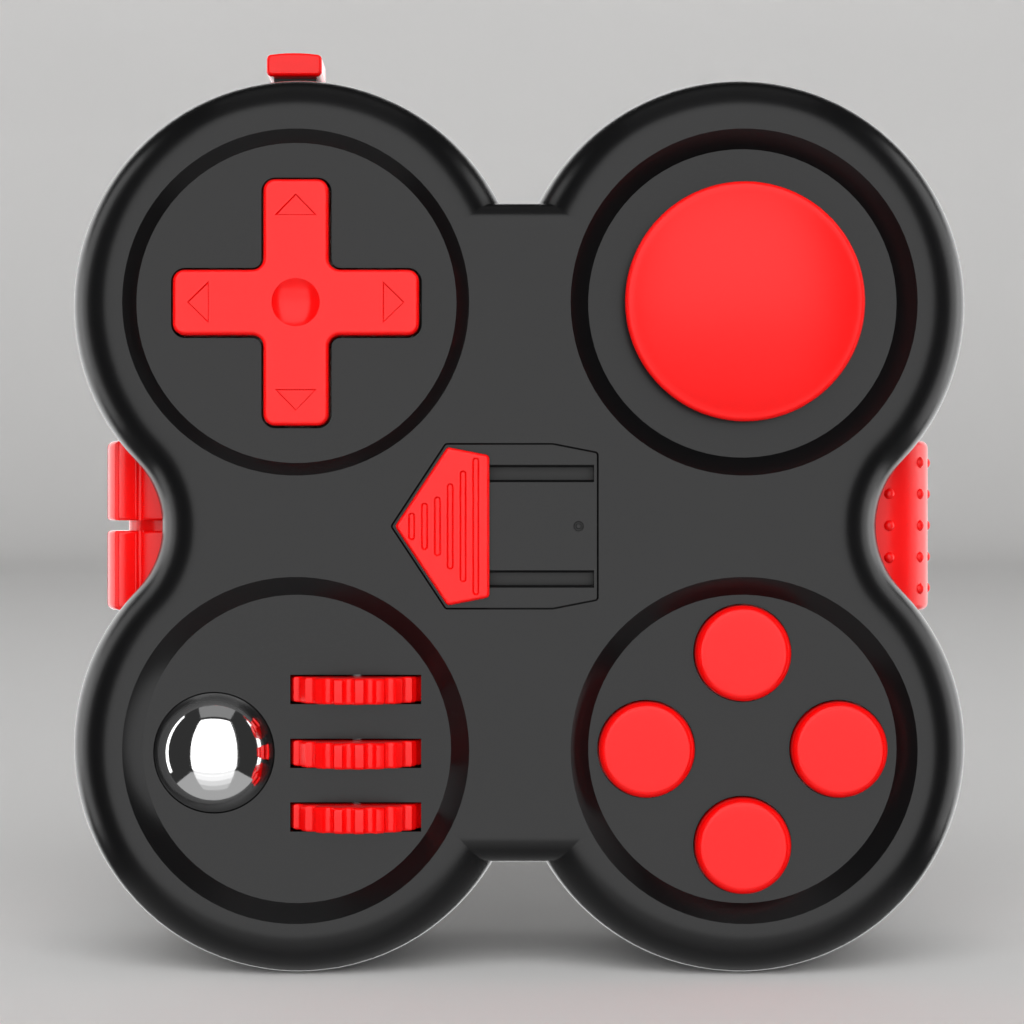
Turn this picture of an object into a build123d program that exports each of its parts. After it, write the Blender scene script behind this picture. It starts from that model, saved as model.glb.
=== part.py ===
from build123d import *
import os
from math import atan2, cos, degrees, pi, radians, sin, sqrt

os.makedirs("parts", exist_ok=True)

# A four-lobed fidget pad that stands on its two lower lobes. X is to the right, Z is up, and the face with the
# controls looks toward -Y. The origin is under the middle of the pad, half way through its depth. Sizes in mm.

# ---- Driving dimensions: casing ----
LOBE_RADIUS = 19.0  # each round lobe
LOBE_OFFSET = 18.55  # lobe centre from the pad's centre, along X and along Z
WAIST_RADIUS = 7.8  # concave side waists between lobes
NOTCH_RADIUS = 1.0  # small concave corner between the upper and between the lower lobes
BRIDGE_WIDTH = 12.4  # block that fills each notch, its ends buried in the lobes
UPPER_BRIDGE_REACH, UPPER_BRIDGE_ROUND = 26.95, 2.2  # end of the block from the pad's centre
LOWER_BRIDGE_REACH, LOWER_BRIDGE_ROUND = 28.1, 2.8
FACE_Y = -11.4  # flat face with the controls
BACK_Y = 14.4
SEAM_Y = 0.8  # parting plane of the two shells
RIM_ROUND = 4.3
SEAM_CHAMFER = 0.2
WALL = 2.0
INNER_ROUND = 2.3
FACE_WALL = 2.9
BACK_WALL = 2.0
LIP_HEIGHT = 1.2
LIP_THICKNESS = 0.95
LIP_GAP = 0.1

PAD_Z = LOBE_RADIUS + LOBE_OFFSET
LEFT_X, RIGHT_X = -LOBE_OFFSET, LOBE_OFFSET
UPPER_Z, LOWER_Z = PAD_Z + LOBE_OFFSET, PAD_Z - LOBE_OFFSET
INNER_Y = FACE_Y + FACE_WALL
BACK_INNER_Y = BACK_Y - BACK_WALL
RUNNING = 0.05  # radial clearance of a pin in its bore

# ---- Driving dimensions: round dishes in the face ----
DISH_RADIUS = 14.36
DISH_FLOOR_RADIUS = 12.84
DISH_DEPTH = 1.35
CROSS_DISH_FLOOR_RADIUS = 13.3
CROSS_DISH_DEPTH = 0.9

# ---- Driving dimensions: screws ----
SCREW_RADIUS = 0.7
SCREW_HEAD_RADIUS = 1.35
SCREW_HEAD_HEIGHT = 0.8
BOSS_RADIUS = 1.8
PILOT_DEPTH = 3.2
CASE_SCREW_RADIUS = 1.0
CASE_SCREW_HEAD_RADIUS = 2.2
CASE_SCREW_HEAD_HEIGHT = 1.5
CASE_SCREW_LENGTH = 9.0
CASE_BOSS_RADIUS = 2.4
CASE_TOWER_RADIUS = 3.6
CASE_BORE_RADIUS = 2.5
CASE_SEAT_Y = 5.0
CASE_SCREWS = [(20.0, 0), (-20.0, 0), (0, 17.5), (0, -17.5)]  # from the pad's centre

# ---- Driving dimensions: direction pad ----
CROSS_SPAN = 20.4
CROSS_ARM = 5.4
CROSS_TIP_ROUND = 0.95
CROSS_GAP = 0.22
CROSS_UNDER_Y = -8.75
CROSS_PIVOT_Y = -7.4
SPIDER_PIN_RADIUS = 0.7
SPIDER_REACH = 3.4
DIMPLE_RADIUS = 2.0
CROSS_PLATE_Y = -5.4
CROSS_PLATE_RADIUS = 10.6
DOME_OFFSET = 7.6
DOME_OFFSETS = [(DOME_OFFSET, 0), (-DOME_OFFSET, 0), (0, DOME_OFFSET), (0, -DOME_OFFSET)]

# ---- Driving dimensions: joystick ----
CAP_RADIUS = 9.9
CAP_SHOULDER_Y = -12.5  # where the dome meets the rounded edge
CAP_UNDER_Y = -11.7
CAP_DOME = 1.9  # rise of the dome above its edge
CAP_EDGE = 0.45
STEM_RADIUS = 2.4
STEM_HOLE_RADIUS = 3.8
STICK_PIVOT_Y = -4.6
GIMBAL_OUTER = 6.2
GIMBAL_INNER = 4.0
GIMBAL_PIN_RADIUS = 0.8
STICK_BASE_Y = 2.0
STICK_SCREW_OFFSET = 8.8

# ---- Driving dimensions: buttons ----
BUTTON_SPACING = 8.0
BUTTON_RADIUS = 3.98
BUTTON_HOLE_RADIUS = 4.1
BUTTON_EDGE = 0.7
BUTTON_FLANGE_RADIUS = 4.7
BUTTON_STEM_RADIUS = 1.5
BUTTON_PLATE_Y = -4.6
BUTTON_PLATE_THICK = 1.4
BUTTON_SCREW_OFFSET = 8.6

# ---- Driving dimensions: thumb wheels and ball ----
WHEEL_RADIUS = 5.9
WHEEL_WIDTH = 2.15
WHEEL_TEETH = 21
WHEEL_Y = -7.1
WHEEL_X = LEFT_X + 4.9
WHEEL_OFFSETS = {"upper": 4.95, "middle": -0.37, "lower": -5.67}
WHEEL_GAP = 0.3  # around the rim, inside the slot
SLOT_HEIGHT = 2.45
AXLE_RADIUS = 0.9
FRAME_Y = -0.5
BALL_RADIUS = 5.5
BALL_X, BALL_Y, BALL_Z = LEFT_X - 6.9, -7.76, LOWER_Z - 0.32
BALL_POCKET_RADIUS = 5.56  # the pocket is narrower at the dish floor, which holds the ball in
BALL_TRAVEL = 0.8
BALL_RELIEF = 0.25  # clearance of the pressed ball in the tube behind it
HOUSING_Y = -4.0  # front edge of the tube behind the ball
HOUSING_SCREW_OFFSET = 7.6

# ---- Driving dimensions: slider ----
KNOB_TIP, KNOB_SHOULDER, KNOB_HEEL = -10.33, -6.0, -2.52  # along X from the pad's centre
KNOB_SHOULDER_HALF, KNOB_HEEL_HALF = 6.55, 5.87
KNOB_TOP_Y = FACE_Y - 0.7
KNOB_UNDER_Y = FACE_Y + 0.2
SLIDER_TRAVEL = 8.7
RECESS_DEPTH = 0.3
RECESS_MARGIN = 0.2
RAIL_Z, RAIL_WIDTH, RAIL_BEVEL = 4.37, 1.05, 0.2
RAIL_START, RAIL_END = -6.7, 6.15
DIMPLE_X = 4.87  # middle of the small round mark in the recess
CARRIER_X = (-17.1, 6.3)
CARRIER_HALF = 5.5
CARRIER_Y = (-9.6, -8.6)
POCKET_Y = -9.7
RIB_WIDTH, RIB_DEPTH, RIB_TAPER = 0.58, 0.18, 40
RECESS_TAPER = 25

# ---- Driving dimensions: side controls and flip switch ----
NOSE_X = 30.4
NOSE_RADIUS = 5.5
SIDE_HALF_HEIGHT = 7.35
ROCKER_PIVOT_X = 28.4
ROCKER_PIN_RADIUS = 0.75
SWITCH_X = -19.4
SWITCH_PIVOT_Z = PAD_Z + 33.05
SWITCH_CAP = (4.8, 5.4, 2.05)
SWITCH_CAP_Z = PAD_Z + 38.95
SWITCH_NECK = (3.7, 2.6)


# ---- Planes and small helpers ----
def facing(x, z, y):
    """Plane parallel to the face at depth y, its normal toward the user."""
    return Plane(origin=(x, y, z), x_dir=(1, 0, 0), z_dir=(0, -1, 0))


def depth_profile(x, z):
    """Plane whose local x is a radius and local y the depth, for turning a shape about an axis along Y."""
    return Plane(origin=(x, 0, z), x_dir=(1, 0, 0), z_dir=(0, 0, 1))


def depth_axis(x, z):
    return Axis((x, 0, z), (0, 1, 0))


def rod(x, z, near_y, far_y, radius):
    """Round rod along Y from near_y, the end toward the user, to far_y."""
    with BuildPart() as piece:
        with BuildSketch(facing(x, z, far_y)):
            Circle(radius)
        extrude(amount=far_y - near_y)
    return piece.part


def slab(x_range, y_range, z_range):
    """Block between two corners, given as ranges."""
    size = [high - low for low, high in (x_range, y_range, z_range)]
    centre = [(high + low) / 2 for low, high in (x_range, y_range, z_range)]
    with BuildPart(Plane(origin=centre)) as piece:
        Box(*size)
    return piece.part


def screw(x, z, seat_y, length, radius=SCREW_RADIUS, head=SCREW_HEAD_RADIUS, height=SCREW_HEAD_HEIGHT):
    """Pan-head screw driven from the back: the head lies behind seat_y, the shank in front of it."""
    drive_width, drive_depth = head * 0.28, height * 0.5
    with BuildPart() as piece:
        with BuildSketch(depth_profile(x, z)):
            with BuildLine():
                Polyline((0, seat_y + height), (head * 0.55, seat_y + height), (head, seat_y + height * 0.55),
                         (head, seat_y), (radius, seat_y), (radius, seat_y - length + radius),
                         (radius * 0.3, seat_y - length), (0, seat_y - length), close=True)
            make_face()
        revolve(axis=depth_axis(x, z))
        with BuildSketch(facing(x, z, seat_y + height)):
            Rectangle(head * 1.2, drive_width)
            Rectangle(drive_width, head * 1.2)
        extrude(amount=drive_depth, mode=Mode.SUBTRACT)
    return piece.part


def screws(places, seat_y, length):
    with BuildPart() as group:
        for x, z in places:
            add(screw(x, z, seat_y, length))
    return group


def spring(x, z, near_y, far_y, radius, wire, turns):
    """Compression spring along Y with its ends inside near_y and far_y."""
    height = far_y - near_y - 2 * wire
    with BuildPart() as coil:
        with BuildLine() as path:
            Helix(pitch=height / turns, height=height, radius=radius, center=(x, far_y - wire, z),
                  direction=(0, -1, 0))
        with BuildSketch(Plane(origin=path.line @ 0, z_dir=path.line % 0)):
            Circle(wire / 2)
        sweep(is_frenet=True)
    return coil


def save(piece, label):
    piece.part.label = label
    export_step(piece.part, f"parts/{label}.step")


# ---- Casing outline ----
def pad_outline(inset, y):
    """Four lobes joined by concave arcs, drawn parallel to the outer edge."""
    waist_reach = sqrt((LOBE_RADIUS + WAIST_RADIUS) ** 2 - LOBE_OFFSET**2)
    notch_rise = sqrt((LOBE_RADIUS + NOTCH_RADIUS) ** 2 - LOBE_OFFSET**2)
    waist_turn = degrees(atan2(LOBE_OFFSET, waist_reach))
    notch_turn = degrees(atan2(notch_rise, LOBE_OFFSET))
    lobe_sweep = 180 + waist_turn - notch_turn
    with BuildSketch(facing(0, PAD_Z, y)) as outline:
        with BuildLine():
            for half_turn, side in ((0, 1), (180, -1)):
                CenterArc((side * LOBE_OFFSET, side * LOBE_OFFSET), LOBE_RADIUS - inset,
                          half_turn - waist_turn, lobe_sweep)
                CenterArc((-side * LOBE_OFFSET, side * LOBE_OFFSET), LOBE_RADIUS - inset,
                          half_turn + notch_turn, lobe_sweep)
                CenterArc((side * (LOBE_OFFSET + waist_reach), 0), WAIST_RADIUS + inset,
                          half_turn + 180 - waist_turn, 2 * waist_turn)
                CenterArc((0, side * (LOBE_OFFSET + notch_rise)), NOTCH_RADIUS + inset,
                          half_turn + 180 + notch_turn, 180 - 2 * notch_turn)
        make_face()
    return outline.sketch


def bridges(outer_y):
    """Blocks in the upper and lower notch, from the seam to outer_y, rounded over at the outside."""
    depth = (min(outer_y, SEAM_Y), max(outer_y, SEAM_Y))
    half = BRIDGE_WIDTH / 2
    outer_edge = 0 if outer_y < SEAM_Y else -1
    with BuildPart() as blocks:
        add(slab((-half, half), depth, (PAD_Z + LOBE_OFFSET, PAD_Z + UPPER_BRIDGE_REACH)))
        upper = blocks.edges().filter_by(Axis.X).group_by(Axis.Z)[-1].sort_by(Axis.Y)[outer_edge]
        fillet(upper, UPPER_BRIDGE_ROUND)
        add(slab((-half, half), depth, (PAD_Z - LOWER_BRIDGE_REACH, PAD_Z - LOBE_OFFSET)))
        lower = blocks.edges().filter_by(Axis.X).group_by(Axis.Z)[0].sort_by(Axis.Y)[outer_edge]
        fillet(lower, LOWER_BRIDGE_ROUND)
    return blocks.part


def cavity(outer_y):
    """Hollow of one shell, from the seam to its inner wall."""
    with BuildPart() as hollow:
        if outer_y < SEAM_Y:
            extrude(pad_outline(WALL, SEAM_Y), amount=SEAM_Y - INNER_Y)
            fillet(hollow.faces().sort_by(Axis.Y)[0].edges(), INNER_ROUND)
        else:
            extrude(pad_outline(WALL, BACK_INNER_Y), amount=BACK_INNER_Y - SEAM_Y)
            fillet(hollow.faces().sort_by(Axis.Y)[-1].edges(), INNER_ROUND)
    return hollow.part


def side_openings():
    """Openings in the waists for the rocker (left) and the pad (right), and in the top for the switch."""
    rocker_half, pad_half = SIDE_HALF_HEIGHT + 0.5, SIDE_HALF_HEIGHT + 0.15
    rocker_gap, pad_gap = NOSE_RADIUS + 0.25, NOSE_RADIUS + 0.15
    with BuildPart() as openings:
        add(slab((-38, -27.5), (SEAM_Y - rocker_gap, SEAM_Y + rocker_gap),
                 (PAD_Z - rocker_half, PAD_Z + rocker_half)))
        add(slab((27.5, 38), (SEAM_Y - pad_gap, SEAM_Y + pad_gap), (PAD_Z - pad_half, PAD_Z + pad_half)))
        half_x = SWITCH_NECK[0] / 2 + 0.25
        add(slab((SWITCH_X - half_x, SWITCH_X + half_x), (SEAM_Y - 2.5, SEAM_Y + 2.5),
                 (UPPER_Z + 15.5, UPPER_Z + 20)))
    return openings.part


def dish(x, z, depth, floor_radius):
    """Conical recess with a flat floor."""
    clear = 1.0
    flare = (DISH_RADIUS - floor_radius) / depth * clear
    with BuildPart() as recess:
        with BuildSketch(depth_profile(x, z)):
            with BuildLine():
                Polyline((0, FACE_Y - clear), (DISH_RADIUS + flare, FACE_Y - clear),
                         (floor_radius, FACE_Y + depth), (0, FACE_Y + depth), close=True)
            make_face()
        revolve(axis=depth_axis(x, z))
    return recess.part


def cross_sketch(y, margin):
    """Plus-shaped outline with rounded tips and inner corners."""
    with BuildSketch(facing(LEFT_X, UPPER_Z, y)) as cross:
        Rectangle(CROSS_SPAN + 2 * margin, CROSS_ARM + 2 * margin)
        Rectangle(CROSS_ARM + 2 * margin, CROSS_SPAN + 2 * margin)
        inner = CROSS_ARM / 2 + margin + 0.01
        tip = CROSS_SPAN / 2 + margin - 0.01
        fillet(cross.vertices().filter_by(lambda corner: max(abs(corner.X), abs(corner.Y)) < inner),
               CROSS_TIP_ROUND - margin)
        fillet(cross.vertices().filter_by(lambda corner: max(abs(corner.X), abs(corner.Y)) > tip),
               CROSS_TIP_ROUND + margin)
    return cross.sketch


def knob_sketch(y):
    """Arrow-headed outline of the slider knob."""
    with BuildSketch(facing(0, PAD_Z, y)) as arrow:
        with BuildLine():
            Polyline((KNOB_TIP, 0), (KNOB_SHOULDER, KNOB_SHOULDER_HALF), (KNOB_HEEL, KNOB_HEEL_HALF),
                     (KNOB_HEEL, -KNOB_HEEL_HALF), (KNOB_SHOULDER, -KNOB_SHOULDER_HALF), close=True)
        make_face()
    return arrow.sketch


def recess_sketch(y):
    """Everything the knob sweeps over on its travel, with a small margin."""
    with BuildSketch(facing(0, PAD_Z, y)) as swept:
        with BuildLine():
            end = KNOB_SHOULDER + SLIDER_TRAVEL
            heel = KNOB_HEEL + SLIDER_TRAVEL
            Polyline((KNOB_TIP, 0), (KNOB_SHOULDER, KNOB_SHOULDER_HALF), (end, KNOB_SHOULDER_HALF),
                     (heel, KNOB_HEEL_HALF), (heel, -KNOB_HEEL_HALF), (end, -KNOB_SHOULDER_HALF),
                     (KNOB_SHOULDER, -KNOB_SHOULDER_HALF), close=True)
        make_face()
        offset(amount=RECESS_MARGIN, kind=Kind.ARC)
    return swept.sketch


# ---- Places that several pieces share ----
BUTTONS = {"upper": (RIGHT_X, LOWER_Z + BUTTON_SPACING), "lower": (RIGHT_X, LOWER_Z - BUTTON_SPACING),
           "left": (RIGHT_X - BUTTON_SPACING, LOWER_Z), "right": (RIGHT_X + BUTTON_SPACING, LOWER_Z)}
WHEELS = {name: LOWER_Z + offset_z for name, offset_z in WHEEL_OFFSETS.items()}
CASE_PLACES = [(x, PAD_Z + z) for x, z in CASE_SCREWS]
CROSS_PLACES = [(LEFT_X - STICK_SCREW_OFFSET, UPPER_Z + STICK_SCREW_OFFSET),
                (LEFT_X + STICK_SCREW_OFFSET, UPPER_Z - STICK_SCREW_OFFSET)]
STICK_PLACES = [(RIGHT_X + STICK_SCREW_OFFSET, UPPER_Z + STICK_SCREW_OFFSET),
                (RIGHT_X - STICK_SCREW_OFFSET, UPPER_Z - STICK_SCREW_OFFSET)]
BUTTON_PLACES = [(RIGHT_X, LOWER_Z), (RIGHT_X + BUTTON_SCREW_OFFSET, LOWER_Z - BUTTON_SCREW_OFFSET),
                 (RIGHT_X - BUTTON_SCREW_OFFSET, LOWER_Z + BUTTON_SCREW_OFFSET)]
FRAME_PLACES = [(LEFT_X + 12.9, LOWER_Z - 0.37), (WHEEL_X, LOWER_Z - 11.4)]
HOUSING_PLACES = [(BALL_X, BALL_Z + HOUSING_SCREW_OFFSET), (BALL_X, BALL_Z - HOUSING_SCREW_OFFSET)]
KEEPER_PLACES = [(0, PAD_Z + 9.2), (0, PAD_Z - 9.2)]

# Bosses under the face: places, level of their ends, radius
BOSSES = [(CROSS_PLACES, CROSS_PLATE_Y), (STICK_PLACES, STICK_BASE_Y), (BUTTON_PLACES, BUTTON_PLATE_Y),
          (FRAME_PLACES, FRAME_Y), (HOUSING_PLACES, HOUSING_Y)]

# ---- Front shell ----
with BuildPart() as front_shell:
    extrude(pad_outline(0, SEAM_Y), amount=SEAM_Y - FACE_Y)
    fillet(front_shell.faces().sort_by(Axis.Y)[0].edges(), RIM_ROUND)
    chamfer(front_shell.faces().sort_by(Axis.Y)[-1].edges(), SEAM_CHAMFER)
    add(bridges(FACE_Y))
    add(cavity(FACE_Y), mode=Mode.SUBTRACT)
    # lip that enters the back shell
    extrude(pad_outline(WALL - LIP_THICKNESS, SEAM_Y + LIP_HEIGHT), amount=LIP_HEIGHT + 0.4)
    extrude(pad_outline(WALL, SEAM_Y + LIP_HEIGHT), amount=LIP_HEIGHT + 0.4, mode=Mode.SUBTRACT)
    # bosses, buried a little in the wall
    root_y = INNER_Y - 0.3
    for places, end_y in BOSSES:
        for x, z in places:
            add(rod(x, z, root_y, end_y, BOSS_RADIUS))
    for x, z in CASE_PLACES:
        add(rod(x, z, root_y, SEAM_Y - 0.1, CASE_BOSS_RADIUS))
    rocker_boss_y = SEAM_Y - NOSE_RADIUS - 0.25
    add(slab((-28.6, -26.6), (root_y, rocker_boss_y), (PAD_Z - 1.9, PAD_Z + 1.9)))
    # dishes and the openings for the controls
    add(dish(LEFT_X, UPPER_Z, CROSS_DISH_DEPTH, CROSS_DISH_FLOOR_RADIUS), mode=Mode.SUBTRACT)
    for x, z in ((RIGHT_X, UPPER_Z), (LEFT_X, LOWER_Z), (RIGHT_X, LOWER_Z)):
        add(dish(x, z, DISH_DEPTH, DISH_FLOOR_RADIUS), mode=Mode.SUBTRACT)
    extrude(cross_sketch(INNER_Y + 0.1, CROSS_GAP), amount=FACE_WALL, mode=Mode.SUBTRACT)
    add(rod(RIGHT_X, UPPER_Z, FACE_Y, INNER_Y + 0.1, STEM_HOLE_RADIUS), mode=Mode.SUBTRACT)
    for x, z in BUTTONS.values():
        add(rod(x, z, FACE_Y, INNER_Y + 0.1, BUTTON_HOLE_RADIUS), mode=Mode.SUBTRACT)
    for z in WHEELS.values():
        with BuildSketch(Plane(origin=(WHEEL_X, WHEEL_Y, z - SLOT_HEIGHT / 2))):
            Circle(WHEEL_RADIUS + WHEEL_GAP)
        extrude(amount=SLOT_HEIGHT, mode=Mode.SUBTRACT)
    with Locations((BALL_X, BALL_Y, BALL_Z)):
        Sphere(BALL_POCKET_RADIUS, mode=Mode.SUBTRACT)
    # slider: shallow recess, two rail slots with bevelled edges, a detent dimple, a pocket behind
    extrude(recess_sketch(FACE_Y + RECESS_DEPTH), amount=1, taper=-RECESS_TAPER, mode=Mode.SUBTRACT)
    for side in (1, -1):
        z = PAD_Z + side * RAIL_Z
        add(slab((RAIL_START, RAIL_END), (FACE_Y, INNER_Y + 0.1), (z - RAIL_WIDTH / 2, z + RAIL_WIDTH / 2)),
            mode=Mode.SUBTRACT)
    recess_y = FACE_Y + RECESS_DEPTH
    rail_rims = [edge for edge in front_shell.edges().filter_by(Axis.X)
                 if abs(edge.center().Y - recess_y) < 0.01
                 and abs(abs(abs(edge.center().Z - PAD_Z) - RAIL_Z) - RAIL_WIDTH / 2) < 0.01]
    chamfer(rail_rims, RAIL_BEVEL)
    with Locations(Location((DIMPLE_X, recess_y, PAD_Z), (90, 0, 0))):
        Torus(0.3, 0.12, mode=Mode.SUBTRACT)
    add(slab((CARRIER_X[0] - 0.3, CARRIER_X[1] + SLIDER_TRAVEL + 0.3), (POCKET_Y, INNER_Y + 0.1),
             (PAD_Z - CARRIER_HALF - 0.15, PAD_Z + CARRIER_HALF + 0.15)), mode=Mode.SUBTRACT)
    add(side_openings(), mode=Mode.SUBTRACT)
    # pilot holes
    for places, end_y in BOSSES:
        for x, z in places:
            add(rod(x, z, end_y - PILOT_DEPTH, end_y, SCREW_RADIUS + RUNNING), mode=Mode.SUBTRACT)
    for x, z in CASE_PLACES:
        add(rod(x, z, SEAM_Y - 7, SEAM_Y, CASE_SCREW_RADIUS + RUNNING), mode=Mode.SUBTRACT)
    for x, z in KEEPER_PLACES:
        add(rod(x, z, INNER_Y - 2.2, INNER_Y + 0.1, SCREW_RADIUS + RUNNING), mode=Mode.SUBTRACT)
    add(rod(-ROCKER_PIVOT_X, PAD_Z, rocker_boss_y - 1.9, SEAM_Y, ROCKER_PIN_RADIUS + RUNNING),
        mode=Mode.SUBTRACT)
save(front_shell, "front_shell")

# ---- Back shell ----
with BuildPart() as back_shell:
    extrude(pad_outline(0, BACK_Y), amount=BACK_Y - SEAM_Y)
    fillet(back_shell.faces().sort_by(Axis.Y)[-1].edges(), RIM_ROUND)
    chamfer(back_shell.faces().sort_by(Axis.Y)[0].edges(), SEAM_CHAMFER)
    add(bridges(BACK_Y))
    add(cavity(BACK_Y), mode=Mode.SUBTRACT)
    # rebate for the front shell's lip
    extrude(pad_outline(WALL - LIP_THICKNESS - LIP_GAP, SEAM_Y + LIP_HEIGHT + LIP_GAP),
            amount=LIP_HEIGHT + LIP_GAP, mode=Mode.SUBTRACT)
    for x, z in CASE_PLACES:
        add(rod(x, z, SEAM_Y, BACK_INNER_Y + 0.3, CASE_TOWER_RADIUS))
    back_boss_y = SEAM_Y + NOSE_RADIUS + 0.25
    add(slab((-28.6, -26.6), (back_boss_y, BACK_INNER_Y + 0.3), (PAD_Z - 1.9, PAD_Z + 1.9)))
    for x, z in CASE_PLACES:
        add(rod(x, z, CASE_SEAT_Y, BACK_Y, CASE_BORE_RADIUS), mode=Mode.SUBTRACT)
        add(rod(x, z, SEAM_Y, CASE_SEAT_Y, CASE_SCREW_RADIUS + 0.15), mode=Mode.SUBTRACT)
    bore_rims = back_shell.edges().filter_by(GeomType.CIRCLE).filter_by(
        lambda edge: abs(edge.center().Y - BACK_Y) < 0.01 and abs(edge.radius - CASE_BORE_RADIUS) < 0.01)
    chamfer(bore_rims, 0.3)
    add(side_openings(), mode=Mode.SUBTRACT)
    add(rod(-ROCKER_PIVOT_X, PAD_Z, SEAM_Y, back_boss_y + 1.9, ROCKER_PIN_RADIUS + RUNNING), mode=Mode.SUBTRACT)
save(back_shell, "back_shell")

with BuildPart() as case_screws:
    for x, z in CASE_PLACES:
        add(screw(x, z, CASE_SEAT_Y, CASE_SCREW_LENGTH, CASE_SCREW_RADIUS, CASE_SCREW_HEAD_RADIUS,
                  CASE_SCREW_HEAD_HEIGHT))
save(case_screws, "case_screws")


# ---- Side rocker and massage pad ----
def nose(side, inner_x, half_height, radius=NOSE_RADIUS):
    """Half-round bar along Z with a flat inner part that reaches in to inner_x."""
    bottom = Plane(origin=(0, 0, PAD_Z - half_height), x_dir=(1, 0, 0), z_dir=(0, 0, 1))
    with BuildPart() as bar:
        with BuildSketch(bottom):
            with BuildLine():
                Polyline((side * NOSE_X, SEAM_Y - radius), (side * inner_x, SEAM_Y - radius),
                         (side * inner_x, SEAM_Y + radius), (side * NOSE_X, SEAM_Y + radius))
                ThreePointArc((side * NOSE_X, SEAM_Y - radius), (side * (NOSE_X + radius), SEAM_Y),
                              (side * NOSE_X, SEAM_Y + radius))
            make_face()
        extrude(amount=2 * half_height)
    return bar.part


GROOVE_ANGLES = [-68, -40, -12, 12, 40, 68]
GROOVE_RADIUS = 0.3
NOTCH_HALF, NOTCH_DEPTH = 0.45, 1.85
EDGE_ROUND = 0.6

with BuildPart() as rocker_notch:
    add(nose(-1, 29.4, NOTCH_HALF, NOSE_RADIUS + 1))
    add(nose(-1, 29.3, NOTCH_HALF + 0.1, NOSE_RADIUS - NOTCH_DEPTH), mode=Mode.SUBTRACT)

with BuildPart() as side_rocker:
    add(nose(-1, 26.6, SIDE_HALF_HEIGHT))
    add(rocker_notch.part, mode=Mode.SUBTRACT)
    outer_rims = [edge for edge in side_rocker.edges().filter_by(GeomType.CIRCLE)
                  if abs(edge.radius - NOSE_RADIUS) < 0.01]
    fillet([edge for edge in outer_rims if abs(edge.center().Z - PAD_Z) > SIDE_HALF_HEIGHT - 0.01], EDGE_ROUND)
    fillet([edge for edge in side_rocker.edges().filter_by(GeomType.CIRCLE)
            if abs(edge.radius - NOSE_RADIUS) < 0.01 and abs(edge.center().Z - PAD_Z) < NOTCH_HALF + 0.01],
           EDGE_ROUND / 2)
    for angle in GROOVE_ANGLES:
        groove_x = -NOSE_X - (NOSE_RADIUS + 0.08) * cos(radians(angle))
        groove_y = SEAM_Y + (NOSE_RADIUS + 0.08) * sin(radians(angle))
        with BuildSketch(Plane(origin=(groove_x, groove_y, PAD_Z - SIDE_HALF_HEIGHT - 1))):
            Circle(GROOVE_RADIUS)
        extrude(amount=2 * SIDE_HALF_HEIGHT + 2, mode=Mode.SUBTRACT)
    add(rod(-ROCKER_PIVOT_X, PAD_Z, -8, 10, ROCKER_PIN_RADIUS + RUNNING), mode=Mode.SUBTRACT)
save(side_rocker, "side_rocker")

with BuildPart() as rocker_pin:
    add(rod(-ROCKER_PIVOT_X, PAD_Z, SEAM_Y - 7.4, SEAM_Y + 7.4, ROCKER_PIN_RADIUS))
    chamfer(rocker_pin.edges(), 0.15)
save(rocker_pin, "rocker_pin")

with BuildPart() as rocker_spring:
    strip = Plane(origin=(0, SEAM_Y - 1.5, PAD_Z), x_dir=(1, 0, 0), z_dir=(0, -1, 0))
    with BuildSketch(strip):
        with BuildLine():
            ThreePointArc((-26.0, 6.2), (-24.3, 0), (-26.0, -6.2))
            ThreePointArc((-25.78, 6.3), (-24.05, 0), (-25.78, -6.3))
            Line((-26.0, 6.2), (-25.78, 6.3))
            Line((-26.0, -6.2), (-25.78, -6.3))
        make_face()
    extrude(amount=-3.0)
save(rocker_spring, "rocker_spring")

BUMP_ANGLES = [-76, -38, 0, 38, 76]
BUMP_PITCH = 2.73
BUMP_RADIUS = 0.52

with BuildPart() as massage_pad:
    add(nose(1, 26.3, SIDE_HALF_HEIGHT))
    end_rims = [edge for edge in massage_pad.edges().filter_by(GeomType.CIRCLE)
                if abs(edge.radius - NOSE_RADIUS) < 0.01]
    fillet(end_rims, EDGE_ROUND)
    add(slab((26.3, 27.4), (SEAM_Y - 7, SEAM_Y + 7), (PAD_Z - 8.8, PAD_Z + 8.8)))
    bump_places = [(NOSE_X + (NOSE_RADIUS - 0.2) * cos(radians(angle)),
                    SEAM_Y + (NOSE_RADIUS - 0.2) * sin(radians(angle)), PAD_Z + row * BUMP_PITCH)
                   for angle in BUMP_ANGLES for row in range(-2, 3)]
    with Locations(*bump_places):
        Sphere(BUMP_RADIUS)
save(massage_pad, "massage_pad")

# ---- Direction pad ----
EAR_IN, EAR_OUT = 1.7, 3.3
ARROW_DEPTH, ARROW_TAPER = 0.2, 25

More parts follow.
